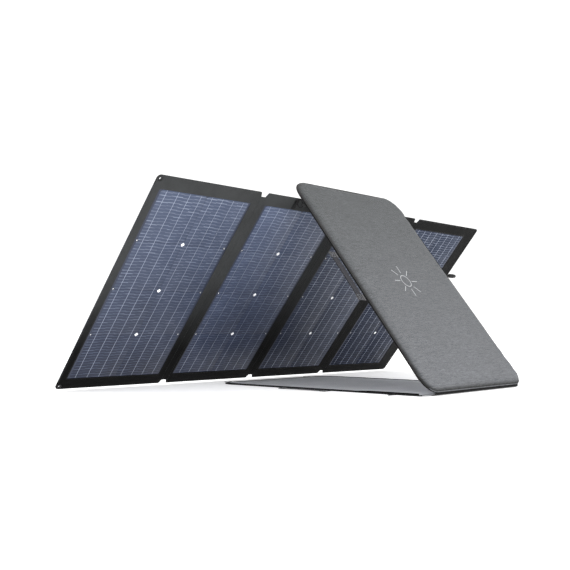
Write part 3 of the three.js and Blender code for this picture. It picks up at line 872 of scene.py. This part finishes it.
def close_grids(shape, outer, inner):
    """Joins two grids that share their rim into one closed body."""
    r, c = outer.shape[:2]
    rim = np.zeros((r, c), bool)
    rim[0], rim[-1], rim[:, 0], rim[:, -1] = True, True, True, True
    index_outer = np.arange(r * c).reshape(r, c)
    index_inner = index_outer.copy()
    index_inner[~rim] = r * c + np.arange((~rim).sum())
    faces = []
    for table, turn in ((index_outer, 1), (index_inner, -1)):
        for i in range(r - 1):
            for j in range(c - 1):
                face = (table[i, j], table[i, j + 1], table[i + 1, j + 1], table[i + 1, j])
                faces.append(face[::turn])
    points = np.vstack([outer.reshape(-1, 3), inner[~rim]])
    shape.add(points, faces)
    return rim


def inflate(piece, pins, cap):
    """Cloth simulation: air pressure swells the cover, pinned where it is sewn, by at most cap."""
    rest = np.array([v.co for v in piece.data.vertices], float)
    group = piece.vertex_groups.new(name="sewn")
    group.add([int(i) for i in pins], 1.0, "REPLACE")
    cloth = piece.modifiers.new("inflate", "CLOTH")
    cloth.settings.quality = 4
    cloth.settings.use_pressure = True
    cloth.settings.uniform_pressure_force = 4
    cloth.settings.vertex_group_mass = "sewn"
    cloth.settings.effector_weights.gravity = 0
    cloth.settings.shrink_min = -0.012
    cloth.collision_settings.use_collision = False
    scene = bpy.context.scene
    for step in range(1, INFLATE_FRAMES + 1):
        scene.frame_set(step)
    graph = bpy.context.evaluated_depsgraph_get()
    moved = np.array([v.co for v in piece.evaluated_get(graph).data.vertices], float)
    piece.modifiers.clear()
    piece.vertex_groups.clear()
    scene.frame_set(1)
    shift = moved - rest
    size = np.linalg.norm(shift, axis=1, keepdims=True)
    return rest + shift * np.minimum(1, cap / np.maximum(size, 1e-9))


def full_top(x, v, end, half):
    """Fills out the pad's top edge and its near top corner, which look fuller than the CAD outline."""
    corner = np.exp(-((x - half) ** 2 + (v - end) ** 2) / (2 * PAD_CORNER_SPREAD**2))
    rise = np.clip((v - (end - PAD_TOP_RAMP)) / PAD_TOP_RAMP, 0, 1)
    return x + PAD_CORNER_PUSH * corner, v + PAD_TOP_RISE * rise**2 * (3 - 2 * rise)


def make_cover():
    """The padded grey cover of the rear half, swollen by cloth simulation inside its sewn rim."""
    low, high = REAR.span("rear_cover")
    start, end, half = low[1] + 1.5, high[1] - 1.5, high[0] - 1.5
    seam = start + SEAM_HEIGHT
    extra = [round(seam + d, 3) for d in (-3.2, -1.6, -0.7, 0, 0.7, 1.6, 3.2)]
    rows, x, v, depth = case_grid(start, end, PAD_FOOT_RADIUS, PAD_TOP_RADIUS, half, extra)
    x, v = full_top(x, v, end, half)
    share = np.clip(depth / PAD_EDGE_RADIUS, 0, 1)
    round_over = np.sqrt(1 - (1 - share) ** 2)
    outer = np.dstack([x, v, PAD_SEAM - PAD_START_DEPTH * round_over])
    inner = np.dstack([x, v, PAD_SEAM + 0.35 * np.clip(depth / 4, 0, 1)])
    shape = Shape(REAR)
    rim = close_grids(shape, outer, inner)
    cover = shape.build("padded_cover", HEATHER, None, slot="outer_fabric", sharp=180)
    # Painted shade: the cover is black at its rim and fades into its grey face further in, standing in for the
    # shade on its side.
    dark = np.clip((PAD_PAINTED_SHADE_EDGE[1] - depth) / (PAD_PAINTED_SHADE_EDGE[1] - PAD_PAINTED_SHADE_EDGE[0]), 0, 1)
    painted_rim_shade = np.concatenate([dark.ravel(), np.ones((~rim).sum())])
    cover.data.attributes.new("rim", "FLOAT", "POINT").data.foreach_set("value", painted_rim_shade.astype(np.float32))

    # The rim and the whole back are held. The first count points are the face.
    count = x.size
    pins = np.concatenate([np.flatnonzero(rim), count + np.arange((~rim).sum())])
    points = REAR.local(inflate(cover, pins, PAD_SWELL / MM))
    face = points[:count].reshape(*x.shape, 3)
    face[..., 2] = np.maximum(face[..., 2], PAD_SEAM - PAD_START_DEPTH - PAD_SWELL)
    flat_part = np.clip((depth - 12) / 30, 0, 1)
    face[..., 2] -= 0.7 * uneven(x, v, (70, 70, 0.4, 1)) * flat_part
    groove = np.exp(-((v - seam) / 1.3) ** 2) * np.clip(depth / 5, 0, 1)
    face[..., 2] += 1.9 * groove
    points[:count] = face.reshape(-1, 3)
    cover.data.vertices.foreach_set("co", REAR.world(points).astype(np.float32).ravel())
    cover.data.update()
    fine = cover.modifiers.new("smooth", "SUBSURF")
    fine.levels = fine.render_levels = 1
    apply_modifiers(cover)
    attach(cover, "rear_half")
    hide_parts("rear_cover")
    seam_row = face[int(np.argmin(np.abs(rows - seam)))]
    trim_cover(seam_row, start, end, half)
    return face, rows, x


def trim_cover(seam_row, start, end, half):
    """The cover's sewn seam, the piping round its rim and a second piping along its foot."""
    sewn = seam_row[6:-6] - [0, 0, 0.25]
    Shape(REAR).stitches(sewn, (0, 0, -1), pitch=4.2).build(
        "cover_stitches", GREY_THREAD, "rear_half", slot="outer_fabric")

    rim_path = rounded_case_path(start - 0.4, end + 0.4, PAD_FOOT_RADIUS, PAD_TOP_RADIUS, half + 0.4)
    rim_x, rim_v = full_top(*rim_path.T, end, half)
    piping = raised(np.column_stack([rim_x, rim_v]), PAD_SEAM + 0.1)
    Shape(REAR).tube(piping, PAD_PIPING_RADIUS, closed=True).build(
        "cover_piping", BINDING, "rear_half", slot="trim_fabric", sharp=180)
    foot = piping[piping[:, 1] < start + 14]
    foot = foot[np.argsort(foot[:, 0])] + [0, 0.6, -2.9]
    Shape(REAR).tube(foot, FOOT_PIPING_RADIUS).build(
        "foot_piping", HEATHER, "rear_half", slot="outer_fabric", sharp=180)


def rounded_case_path(start, end, foot_radius, top_radius, half):
    """Closed path round a case outline whose two ends have their own corner radii."""
    corners = [foot_radius, top_radius, top_radius, foot_radius]
    return outline(-half, half, start, end, corners, 90, 60, 18)


def draw_emblem(face, rows, x):
    """A small generic sun in thin raised print: a circle and eight rays."""
    centre, radius, ray_from, ray_to = np.array([30.0, 442.0]), 24.0, 35.0, 66.0

    def on_face(points):
        lifted = []
        for px, pv in points:
            i = int(np.argmin(np.abs(rows - pv)))
            j = int(np.argmin(np.abs(x[i] - px)))
            lifted.append((px, pv, face[i, j, 2] - 0.45))
        return np.array(lifted)

    turn = np.linspace(0, 2 * np.pi, 48, endpoint=False)
    flat = [(-1.5, 0.0), (1.5, 0.0), (1.3, 0.45), (-1.3, 0.45)]
    ring = on_face(centre + radius * np.column_stack([np.cos(turn), np.sin(turn)]))
    shape = Shape(REAR).sweep(ring, flat, (0, 0, -1), closed=True)
    for k in range(8):
        way = np.array([math.cos(k * math.pi / 4), math.sin(k * math.pi / 4)])
        ray = on_face([centre + way * t for t in np.linspace(ray_from, ray_to, 5)])
        shape.sweep(ray, flat, (0, 0, -1))
    shape.build("sun_print", PRINT, "rear_half", slot="outer_fabric")


def make_lining(plane, node, body, name, look, base, height, radii, puff):
    """A sewn cloth skin over one face of a case half, with a turned edge and a sewn line."""
    low, high = plane.span(node)
    foot_radius, top_radius = radii
    half = (high[0] - low[0]) / 2
    seam = 5.5
    _, x, v, depth = case_grid(low[1], high[1], foot_radius, top_radius, half)
    lift = np.clip(depth / 1.6, 0, 1) ** 0.5
    soft = uneven(x, v, (95, 95, base, 1), (30, 34, base, 0.4))
    groove = np.exp(-((depth - seam) / 1.2) ** 2)
    away = np.clip((depth - 10) / 40, 0, 1)
    top = base + height * (0.3 * lift - 0.12 * groove + 0.7 * away) + puff * soft * away
    outer = np.dstack([x, v, top])
    under = np.dstack([x, v, np.full(x.shape, base)])
    under[0], under[-1], under[:, 0], under[:, -1] = outer[0], outer[-1], outer[:, 0], outer[:, -1]
    shape = Shape(plane)
    close_grids(shape, outer, under)
    cloth = shape.build(name, look, body, [node], slot_of(node), sharp=180)
    path = rounded_case_path(low[1] + seam, high[1] - seam, foot_radius - seam, top_radius - seam,
                             half - seam)
    sign = 1 if height > 0 else -1
    sewn = Shape(plane).stitches(raised(path, base + height * 0.2 + 0.3 * sign), (0, 0, sign), closed=True)
    sewn.build(f"{name}_stitches", GREY_THREAD if look is LINING else BLACK_THREAD, body, slot=slot_of(node))


def slot_of(node):
    return next(s["material_slot"] for s in frame["record"]["subparts"] if s["node"] == node)


def make_zip(plane, node, body, name, end_radius, base, height, tooth_side):
    """Zip tape round three sides of a case half, with moulded teeth along its outer edge."""
    low, high = plane.span(node)
    start, end, half = low[1], high[1], high[0]

    def path(inset):
        corners = [0.5, end_radius - inset, end_radius - inset, 0.5]
        loop = outline(-half + inset, half - inset, start, end - inset, corners, 150, 90, 20)
        ring = np.roll(loop, -7, 0)
        keep = ring[ring[:, 1] > start + 0.4]
        first = int(np.argmax(keep[:, 0] * 1000 - keep[:, 1]))
        return np.roll(keep, -first, 0)

    spine = path(3.0)
    wave = 0.15 * np.array([noise.noise(Vector((a / 18, b / 18, 0.7))) for a, b in spine])
    line = np.column_stack([spine, base + height / 2 + wave])
    t = height / 2
    profile = [(-3.0, -t * 0.3), (-2.6, -t * 0.8), (2.4, -t), (3.0, 0), (2.4, t), (0.6, t * 0.82),
               (-2.6, t * 0.9)]
    Shape(plane).sweep(line, profile).build(name, BLACK_WEBBING, body, [node], slot_of(node), sharp=50)
    teeth = path(0.4)
    points, ahead = spread(raised(teeth, base + height * tooth_side), 3.1)
    shape = Shape(plane)
    shape.beads(points, ahead, (0, 0, 1), 1.7, 3.4, height * 0.62, (0.75, 1, 1, 0.75))
    shape.build(f"{name}_teeth", ZIP_BLACK, body, slot="moulded_black", sharp=30)


def strap_grid(path, normal, width, thickness, ends=2.0):
    """Rows of a flat strap with soft edges and rounded ends, along a path."""
    path = np.asarray(path, float)
    ahead = unit(np.gradient(path, axis=0))
    side = unit(np.cross(ahead, np.array(normal, float)))
    off = np.cross(side, ahead)
    run = np.concatenate([[0], np.cumsum(np.linalg.norm(np.diff(path, axis=0), axis=1))])
    nearest = np.minimum(run, run[-1] - run)
    wide = width / 2 - ends + np.sqrt(np.maximum(ends**2 - np.maximum(ends - nearest, 0) ** 2, 0.04))
    a, b = width / 2, thickness / 2
    right = [(0.3, -0.93), (0.8, -1), (0.96, -0.85), (1, -0.35), (1, 0.35), (0.96, 0.85), (0.8, 1),
             (0.3, 0.93)]
    across = [(-u, -h) for u, h in right[4:]] + right + [(-u, -h) for u, h in right[:4]]
    rows, flats = [], []
    for k, p in enumerate(path):
        scale = wide[k] / a
        rows.append([p + side[k] * u * a * scale + off[k] * h * b for u, h in across])
        flats.append([(u * a * scale, run[k], h * b) for u, h in across])
    return rows, flats


def add_strap(shape, path, normal, width=WEBBING_WIDTH, thickness=STRAP):
    rows, flats = strap_grid(path, normal, width, thickness)
    return shape.grid(rows, wrap_columns=True, caps=True, flat=flats)


def box_stitch(shape, x0, x1, v0, v1, w, sign):
    """A sewn square with a cross in it."""
    corners = [(x0, v0), (x1, v0), (x1, v1), (x0, v1)]
    for a, b in ((0, 1), (1, 2), (2, 3), (3, 0), (0, 2), (1, 3)):
        ends = np.array([(*corners[a], w), (*corners[b], w)], float)
        shape.stitches(ends, (0, 0, sign), pitch=2.6, thread=0.6)


def make_handle(plane, node, body, side):
    """A carry handle: two short arms and a long grip strap, sewn together at the corners."""
    low, high = plane.span(node)
    root, out = low[0], high[0]
    bottom, top = low[2], high[2]
    grip_x, w = out - GRIP_WIDTH / 2, WEBBING_WIDTH / 2
    under = bottom + STRAP / 2 if side > 0 else top - STRAP / 2
    over = top - STRAP / 2 if side > 0 else bottom + STRAP / 2
    grip = Shape(plane)
    runs = np.linspace(low[1] + 0.3, high[1] - 0.3, STRAP_STEPS)
    lift = 0.5 * np.sin(np.linspace(0, np.pi, STRAP_STEPS)) ** 2 * side
    path = np.column_stack([np.full(STRAP_STEPS, grip_x), runs, over + lift])
    add_strap(grip, path, (0, 0, side), GRIP_WIDTH)
    grip.build(f"{node}_grip", WEBBING, body, [node], "webbing", sharp=50)
    arms, sewn = Shape(plane), Shape(plane)
    for v in (low[1] + w, high[1] - w):
        line = np.column_stack([np.linspace(root, out - 0.4, ARM_STEPS), np.full(ARM_STEPS, v)])
        add_strap(arms, raised(line, under), (0, 0, side))
        for middle, sign in ((over, side), (under, -side)):
            surface = middle + sign * (STRAP / 2 + 0.12)
            box_stitch(sewn, out - WEBBING_WIDTH + 3, out - 3, v - w + 3, v + w - 3, surface, sign)
    arms.build(f"{node}_arms", WEBBING_END, body, slot="webbing", sharp=50)
    sewn.build(f"{node}_stitches", PALE_THREAD, body, slot="webbing")


def make_anchors(plane, node, body):
    """The short webbing ends that join a handle to the case's edge."""
    for label in ("lower", "upper"):
        name = f"{node}_anchor_{label}"
        low, high = plane.span(name)
        box = rounded_box(low[0] + 0.02, high[0] - 0.02, low[1] + 0.2, high[1] - 0.2, 0.35,
                          long_steps=8, short_steps=2, corner_steps=3)
        shape = Shape(plane).slab(box, low[2] + 0.05, high[2] - 0.05, 0.5)
        shape.flats[-1] = shape.points[-1][:, [1, 0, 2]]
        shape.build(f"{name}_web", WEBBING_END, body, [name], "webbing")


# ---------------------------------------------------------------- rings, hooks and tabs
def make_ring(plane, node, body, wire, look, slot):
    """A round ring on the plane that its CAD ring lies in."""
    points = plane.node_points(node)
    low, high = points.min(0), points.max(0)
    _, _, axes = np.linalg.svd(points - points.mean(0), full_matrices=False)
    reach = (high - low)[0] / 2 - wire
    turn = np.linspace(0, 2 * np.pi, RING_STEPS, endpoint=False)
    path = (low + high) / 2 + reach * (np.cos(turn)[:, None] * axes[0] + np.sin(turn)[:, None] * axes[1])
    shape = Shape(plane).tube(path, wire, WIRE_SIDES, tuple(axes[2]), closed=True)
    around = np.tile(np.arange(WIRE_SIDES), RING_STEPS)
    shape.flats[-1] = raised(np.column_stack([np.repeat(turn * reach, WIRE_SIDES), around]), 0)
    shape.build(f"{node}_round", look, body, [node], slot, sharp=180)


def make_tab(plane, node, body, width):
    """A webbing tab folded round a ring's wire, from the outline of its CAD solid."""
    low, high = plane.span(node)
    middle = (low[0] + high[0]) / 2
    t = TAB_THICKNESS / 2 + 0.03
    r = min(1.4, (high[2] - low[2]) / 2 - t)
    w0, w1 = low[2] + t, high[2] - t
    top = high[1] - t
    turns = np.radians(np.linspace(-90, 90, 12))
    radius = (w1 - w0) / 2
    nose = [(top - radius + radius * math.cos(a), (w0 + w1) / 2 + radius * math.sin(a)) for a in turns]
    runs = [(v, w0) for v in np.linspace(low[1] + r, top - radius - 0.2, 10)]
    length, drop = top - radius - low[1], w1 - w0 - TAB_THICKNESS
    back = [(v, w1 - (1 - math.sin((v - low[1]) / length * math.pi / 2)) * drop)
            for v in np.linspace(top - radius - 0.2, low[1] + r, 12)]
    path = np.array([(middle, v, w) for v, w in runs + nose + back])
    ahead = unit(np.gradient(path, axis=0))
    off = np.cross(ahead, [1.0, 0, 0])
    rib = [(-1, -0.5), (-0.94, -1), (0.94, -1), (1, -0.5), (1, 0.5), (0.94, 1), (-0.94, 1), (-1, 0.5)]
    rows = [[p + np.array([u * width / 2, 0, 0]) + o * h * TAB_THICKNESS / 2 for u, h in rib]
            for p, o in zip(path, off)]
    run = np.linspace(0, len(path) * 1.6, len(path))
    flats = [[(u * width / 2, s, h) for u, h in rib] for s in run]
    Shape(plane).grid(rows, wrap_columns=True, caps=True, flat=flats).build(
        f"{node}_web", BLACK_WEBBING, body, [node], "trim_fabric", sharp=60)


def soften(node, look, width, segments=3):
    """Keeps a CAD node, rounds its edges over and gives it its finish."""
    obj = frame["nodes"][node]
    obj.data.materials.clear()
    obj.data.materials.append(look)
    bevel = obj.modifiers.new("rounded", "BEVEL")
    bevel.width = width / MM
    bevel.segments = segments
    bevel.limit_method = "ANGLE"
    bevel.angle_limit = math.radians(40)
    bevel.harden_normals = True


def make_junction_box():
    body = "section_4"
    for node, width in (("junction_box_floor", 0.5), ("junction_box_walls", 0.5), ("junction_box_lid", 1.0)):
        soften(node, PLASTIC_CAD, width)
    soften("bypass_diode_board", CIRCUIT, 0.2, 1)
    low, high = PANEL.span("junction_box_lid")
    top = high[2]
    trim = Shape(PANEL)
    # Two raised frames on the lid, with ribs between them
    for inset, width in ((6.5, 0.8), (9.0, 0.5)):
        loop = rounded_box(low[0] + inset, high[0] - inset, low[1] + 14 + inset, high[1] - 14 - inset, 3)
        profile = [(-width, -0.2), (width, -0.2), (width * 0.7, 0.35), (-width * 0.7, 0.35)]
        trim.sweep(raised(loop, top + 0.05), profile, closed=True)
    for k in range(9):
        v = (low[1] + high[1]) / 2 + (k - 4) * 5.5
        trim.sweep([(low[0] + 12, v, top + 0.02), (high[0] - 12, v, top + 0.02)],
                   [(-0.8, -0.2), (0.8, -0.2), (0.5, 0.3), (-0.5, 0.3)])
    trim.build("junction_box_lid_ribs", PLASTIC, body, slot="moulded_black")
    for index in (1, 2):
        make_screw(f"lid_screw_{index}", body)


def make_screw(node, body):
    """A small pan head screw with a cross recess."""
    low, high = PANEL.span(node)
    spot = PANEL.middle(node)
    foot, top = low[2], high[2]
    head = [(AXLE, foot), (1.1, foot + 0.4), (1.45, foot + 1.4), (1.45, top - 1.55), (3.1, top - 1.3),
            (3.15, top - 0.9), (2.7, top - 0.35), (1.7, top - 0.05), (AXLE, top)]
    screw = Shape(PANEL).lathe(head, (*spot, 0), sides=28).build(
        f"{node}_head", NICKEL, body, [node], "steel", sharp=50)
    arm = [(1.9, -0.35), (1.9, 0.35), (0.35, 0.35)]
    turns = ((1, 0), (0, 1), (-1, 0), (0, -1))
    cross = np.array([(a * c - b * d, a * d + b * c) for c, d in turns for a, b in arm])
    cut_away(screw, PANEL, Shape(PANEL).slab(cross + spot, top - 0.8, top + 1, 0.01))


def make_output():
    """Gland nut, ribbed flexible neck and moulded socket, in line with the junction box."""
    body = "section_4"
    axis = (-1, 0, 0)

    def turned(node, name, profile, sides=40):
        low, high = PANEL.span(node)
        centre = (high[0], (low[1] + high[1]) / 2, (low[2] + high[2]) / 2)
        shape = Shape(PANEL).lathe(profile, centre, axis, sides)
        shape.build(name, PLASTIC, body, [node], "moulded_black", sharp=35)
        return centre

    def length(node):
        low, high = PANEL.span(node)
        return high[0] - low[0]

    nut = [(AXLE, 0.0), (5.6, 0.0), (6.0, 0.4), (6.0, 4.4), (5.6, 5.0), (4.9, 5.6), (4.5, 7.4), (4.0, 8.0),
           (AXLE, 8.0)]
    turned("output_gland", "gland_nut", nut)

    reach = length("output_neck")
    ribs = [(3.3 - 0.5 * h / reach - (0.45 if (h / NECK_RIB_PITCH) % 1 > 0.55 else 0.0), h)
            for h in np.linspace(0, reach, 151)]
    turned("output_neck", "ribbed_neck", [(AXLE, 0.0), *ribs, (AXLE, reach)])

    mouth = length("output_socket")
    floor = mouth - SOCKET_DEPTH
    housing = [(AXLE, 0.0), (4.6, 0.0), (5.2, 0.5), (7.8, 3.8), (8.6, 6.0), (9.2, 9.0), (9.5, 12.5)]
    for h in np.arange(15, floor - 6, 4):
        housing += [(9.5, h), (9.1, h + 0.4), (9.1, h + 1.4), (9.5, h + 1.8)]
    housing += [(9.5, floor + 2), (9.0, floor + 4.5), (8.1, floor + 6), (7.9, floor + 7), (7.9, mouth - 0.8),
                (7.3, mouth), (5.2, mouth), (4.5, mouth - 0.8), (4.5, floor + 0.4), (3.9, floor),
                (AXLE, floor)]
    centre = turned("output_socket", "socket_body", housing, 48)
    pin = [(AXLE, floor + 0.1), (1.5, floor + 0.1), (1.5, mouth - 5), (1.0, mouth - 3.8), (AXLE, mouth - 3.4)]
    Shape(PANEL).lathe(pin, centre, axis, 20).build("socket_pin", NICKEL, body, slot="steel")


def make_hooks():
    """Moulded hooks on the panel's rear face, their sewn patches, and the rings and tabs that they hold."""
    for side, section in (("near", "section_2"), ("far", "section_3")):
        soften(f"top_clip_{side}", PLASTIC_CAD, 0.6)
        make_ring(REAR, f"top_ring_{side}", "rear_half", 1.5, PLASTIC, "moulded_black")
        make_tab(REAR, f"ring_tab_{side}", "rear_half", 12)
        low, high = PANEL.span(f"top_clip_{side}")
        x = (low[0] + high[0]) / 2
        box = rounded_box(x - 11, x + 11, low[1] - 9, high[1] - 2, 2.5, long_steps=10, short_steps=6)
        patch = Shape(PANEL).slab(box, -0.62, -0.3, 0.2)
        patch.build(f"hook_patch_{side}", BLACK_WEBBING, section, slot="trim_fabric")
        path = rounded_box(x - 9.4, x + 9.4, low[1] - 7.4, high[1] - 3.6, 2)
        sewn = Shape(PANEL)
        sewn.stitches(raised(path, -0.66), (0, 0, -1), pitch=2.6, closed=True, thread=0.55)
        sewn.build(f"hook_patch_stitches_{side}", BLACK_THREAD, section, slot="trim_fabric")


def make_front_rings():
    for side in ("near", "far"):
        make_ring(GROUND, f"front_ring_{side}", f"front_ring_{side}", 1.15, NICKEL, "steel")
        make_tab(GROUND, f"front_tab_{side}", "ground_half", 8)


# ---------------------------------------------------------------- ground half of the case
def make_ground():
    low, high = GROUND.span("ground_cover")
    body = "ground_half"
    make_lining(GROUND, "ground_cover", body, "ground_sheet", HEATHER, 2.45, -2.4, GROUND_SHEET_RADII, 0.0)
    make_lining(GROUND, "ground_liner", body, "ground_lining", LINING, 2.85, 2.3, GROUND_LINING_RADII, 0.35)
    make_zip(GROUND, "ground_zip_tape", body, "ground_tape", GROUND_ZIP_RADIUS, 0.2, 4.0, 0.55)
    loop = rounded_case_path(low[1] + 2, high[1] - 2, 16, 61.7, high[0] - 2)
    loop = loop[loop[:, 1] > low[1] + 22]
    gaps = np.linalg.norm(loop - np.roll(loop, 1, 0), axis=1)
    loop = np.roll(loop, -int(np.argmax(gaps)), 0)
    ramp, ramp_end = GROUND_PIPING_RAMP
    rise = np.clip((ramp_end - loop[:, 1]) / (ramp_end - ramp), 0, 1) * GROUND_PIPING_RISE
    piping = np.column_stack([loop, GROUND_PIPING_HEIGHT + rise + 0.05 * np.sin(loop[:, 1] / 9)])
    Shape(GROUND).tube(piping, GROUND_PIPING_RADIUS).build(
        "ground_edge_piping", BINDING, body, slot="trim_fabric", sharp=180)


def make_spine():
    """Black cloth that joins the two case halves along the hinge."""
    low, high = GROUND.span("spine_strip")
    pad_low, _ = REAR.span("rear_cover")
    floor_end = np.array([low[1] + 22.5, 1.3])
    foot = GROUND.local(REAR.world([(0, pad_low[1] + 3.2, PAD_SEAM - 0.6)]))[0]
    knee = np.array([foot[1] - 4.5, 2.4])
    steps = np.linspace(0, 1, 20)
    curve = [floor_end * (1 - t) ** 2 + 2 * t * (1 - t) * knee + t**2 * foot[1:] for t in steps]
    columns = np.linspace(-high[0], high[0], 110)
    rows = []
    for t, (v, w) in zip(steps, curve):
        sag = 0.35 * np.array([noise.noise(Vector((x / 33, t * 3, 0.2))) for x in columns])
        bulge = sag * math.sin(math.pi * t)
        outside = np.column_stack([columns, v - bulge, np.maximum(w - 0.55 + bulge, 0.12)])
        inside = np.column_stack([columns, v - bulge + 0.4, np.maximum(w + 0.5 + bulge, 1.0)])
        rows.append(np.vstack([outside, inside[::-1]]))
    piece = Shape(GROUND).grid(rows, wrap_columns=True, caps=True).build(
        "spine_cloth", BINDING, None, ["spine_strip"], "trim_fabric", sharp=60)
    start = GROUND.world([(0, floor_end[0] - 6, floor_end[1])])[0]
    end = GROUND.world([(0, foot[1], foot[2])])[0]
    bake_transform(piece)


def make_zip_slider():
    """Slider with a bridge, and a hinged pull with a moulded grip."""
    soften("zip_slider", PLASTIC_CAD, 0.8)
    low, high = GROUND.span("zip_slider")
    x, v, top = (low[0] + high[0]) / 2, (low[1] + high[1]) / 2, high[2]
    arch = [(-5, -0.4), (-4, 1.2), (0, 1.9), (4, 1.2), (5, -0.4)]
    bridge = smooth_path([(x - 1, v + along, top + rise) for along, rise in arch], 24)
    profile = [(-1.3, -0.6), (1.3, -0.6), (1.3, 0.4), (0.7, 0.7), (-0.7, 0.7), (-1.3, 0.4)]
    Shape(GROUND).sweep(bridge, profile, (1, 0, 0)).build(
        "zip_bridge", ZIP_BLACK, "zip_slider", slot="moulded_black")
    soften("zip_pull", PLASTIC_CAD, 0.5)
    low, high = GROUND.span("zip_pull")
    v = (low[1] + high[1]) / 2
    ribs = Shape(GROUND)
    for k in range(5):
        x = low[0] + 4 + 2.6 * k
        ribs.tube([(x, v - 2.6, high[2] + 0.05), (x, v + 2.6, high[2] + 0.05)], 0.5, 8)
    ribs.build("zip_pull_ribs", PLASTIC, "zip_pull", slot="moulded_black")


def smooth_path(points, count):
    points = np.asarray(points, float)
    t = np.linspace(0, 1, len(points))
    spots = np.linspace(0, 1, count)
    fit = [np.polyfit(t, points[:, k], min(4, len(points) - 1)) for k in range(3)]
    return np.stack([np.polyval(f, spots) for f in fit], 1)


# ---------------------------------------------------------------- floor, lights and camera
def make_stage():
    mesh = bpy.data.meshes.new("floor")
    half = 60.0
    corners = [(-half, -half, 0), (half, -half, 0), (half, half, 0), (-half, half, 0)]
    mesh.from_pydata(corners, [], [(0, 1, 2, 3)])
    floor = bpy.data.objects.new("floor", mesh)
    look = Look("pale_floor", rough=0.9, Emission_Color=(1, 1, 1, 1), Emission_Strength=0.4)
    grain = look.noise(look.body_place(), 3, 2, 0.5)
    look.colour(look.mix(grain, (0.9, 0.9, 0.9), (0.92, 0.92, 0.92)))
    mesh.materials.append(look.material)
    bpy.context.scene.collection.objects.link(floor)

    world = bpy.data.worlds.new("studio")
    world.use_nodes = True
    world.node_tree.nodes["Background"].inputs["Color"].default_value = (1, 1, 1, 1)
    world.node_tree.nodes["Background"].inputs["Strength"].default_value = 1.18
    bpy.context.scene.world = world
    bpy.context.scene.view_settings.view_transform = "Standard"

    def softbox(name, spot, target, size, power):
        light = bpy.data.lights.new(name, "AREA")
        light.shape, light.size, light.size_y, light.energy = "RECTANGLE", *size, power
        obj = bpy.data.objects.new(name, light)
        obj.location = spot
        obj.rotation_euler = (Vector(target) - Vector(spot)).to_track_quat("-Z", "Y").to_euler()
        bpy.context.scene.collection.objects.link(obj)

    softbox("key", (1.2, 3.4, 3.6), (0, 0, 0.3), (2.6, 2.0), 60)
    softbox("top", (0, -0.6, 4.2), (0, 0, 0), (3.5, 2.5), 40)


def make_camera():
    """At the height of the case, behind the panel, looking a little upwards along its length."""
    camera = bpy.data.cameras.new("camera")
    camera.sensor_width = CAMERA_SENSOR
    camera.lens = CAMERA_LENS
    obj = bpy.data.objects.new("camera", camera)
    obj.location = CAMERA_SPOT
    rise = math.radians(CAMERA_RISE)
    ahead = Vector((*(math.cos(rise) * a for a in CAMERA_HEADING), math.sin(rise)))
    obj.rotation_euler = ahead.to_track_quat("-Z", "Y").to_euler()
    bpy.context.scene.collection.objects.link(obj)
    bpy.context.scene.camera = obj


make_camera()
make_stage()
for section in (1, 2, 3, 4):
    make_laminate(section)
    for side in ("rear", "front"):
        make_border(section, side)
make_eyelets()
for section, place in enumerate(("near", "centre", "far"), 1):
    make_fold(f"fold_strip_{place}", section)
draw_emblem(*make_cover())
soften("rear_stiffener", BOARD, 0.3, 1)
make_lining(REAR, "rear_liner", "rear_half", "rear_lining", LINING, -1.25, 3.5, REAR_LINING_RADII, 0.3)
make_zip(REAR, "rear_zip_tape", "rear_half", "rear_tape", REAR_ZIP_RADIUS, -4.1, 2.5, 0.5)
make_ground()
make_spine()
make_handle(REAR, "rear_handle", "rear_handle", -1)
make_anchors(REAR, "rear_handle", "rear_half")
make_handle(GROUND, "ground_handle", "ground_handle", 1)
make_anchors(GROUND, "ground_handle", "ground_half")
make_hooks()
make_front_rings()
make_junction_box()
make_output()
make_zip_slider()
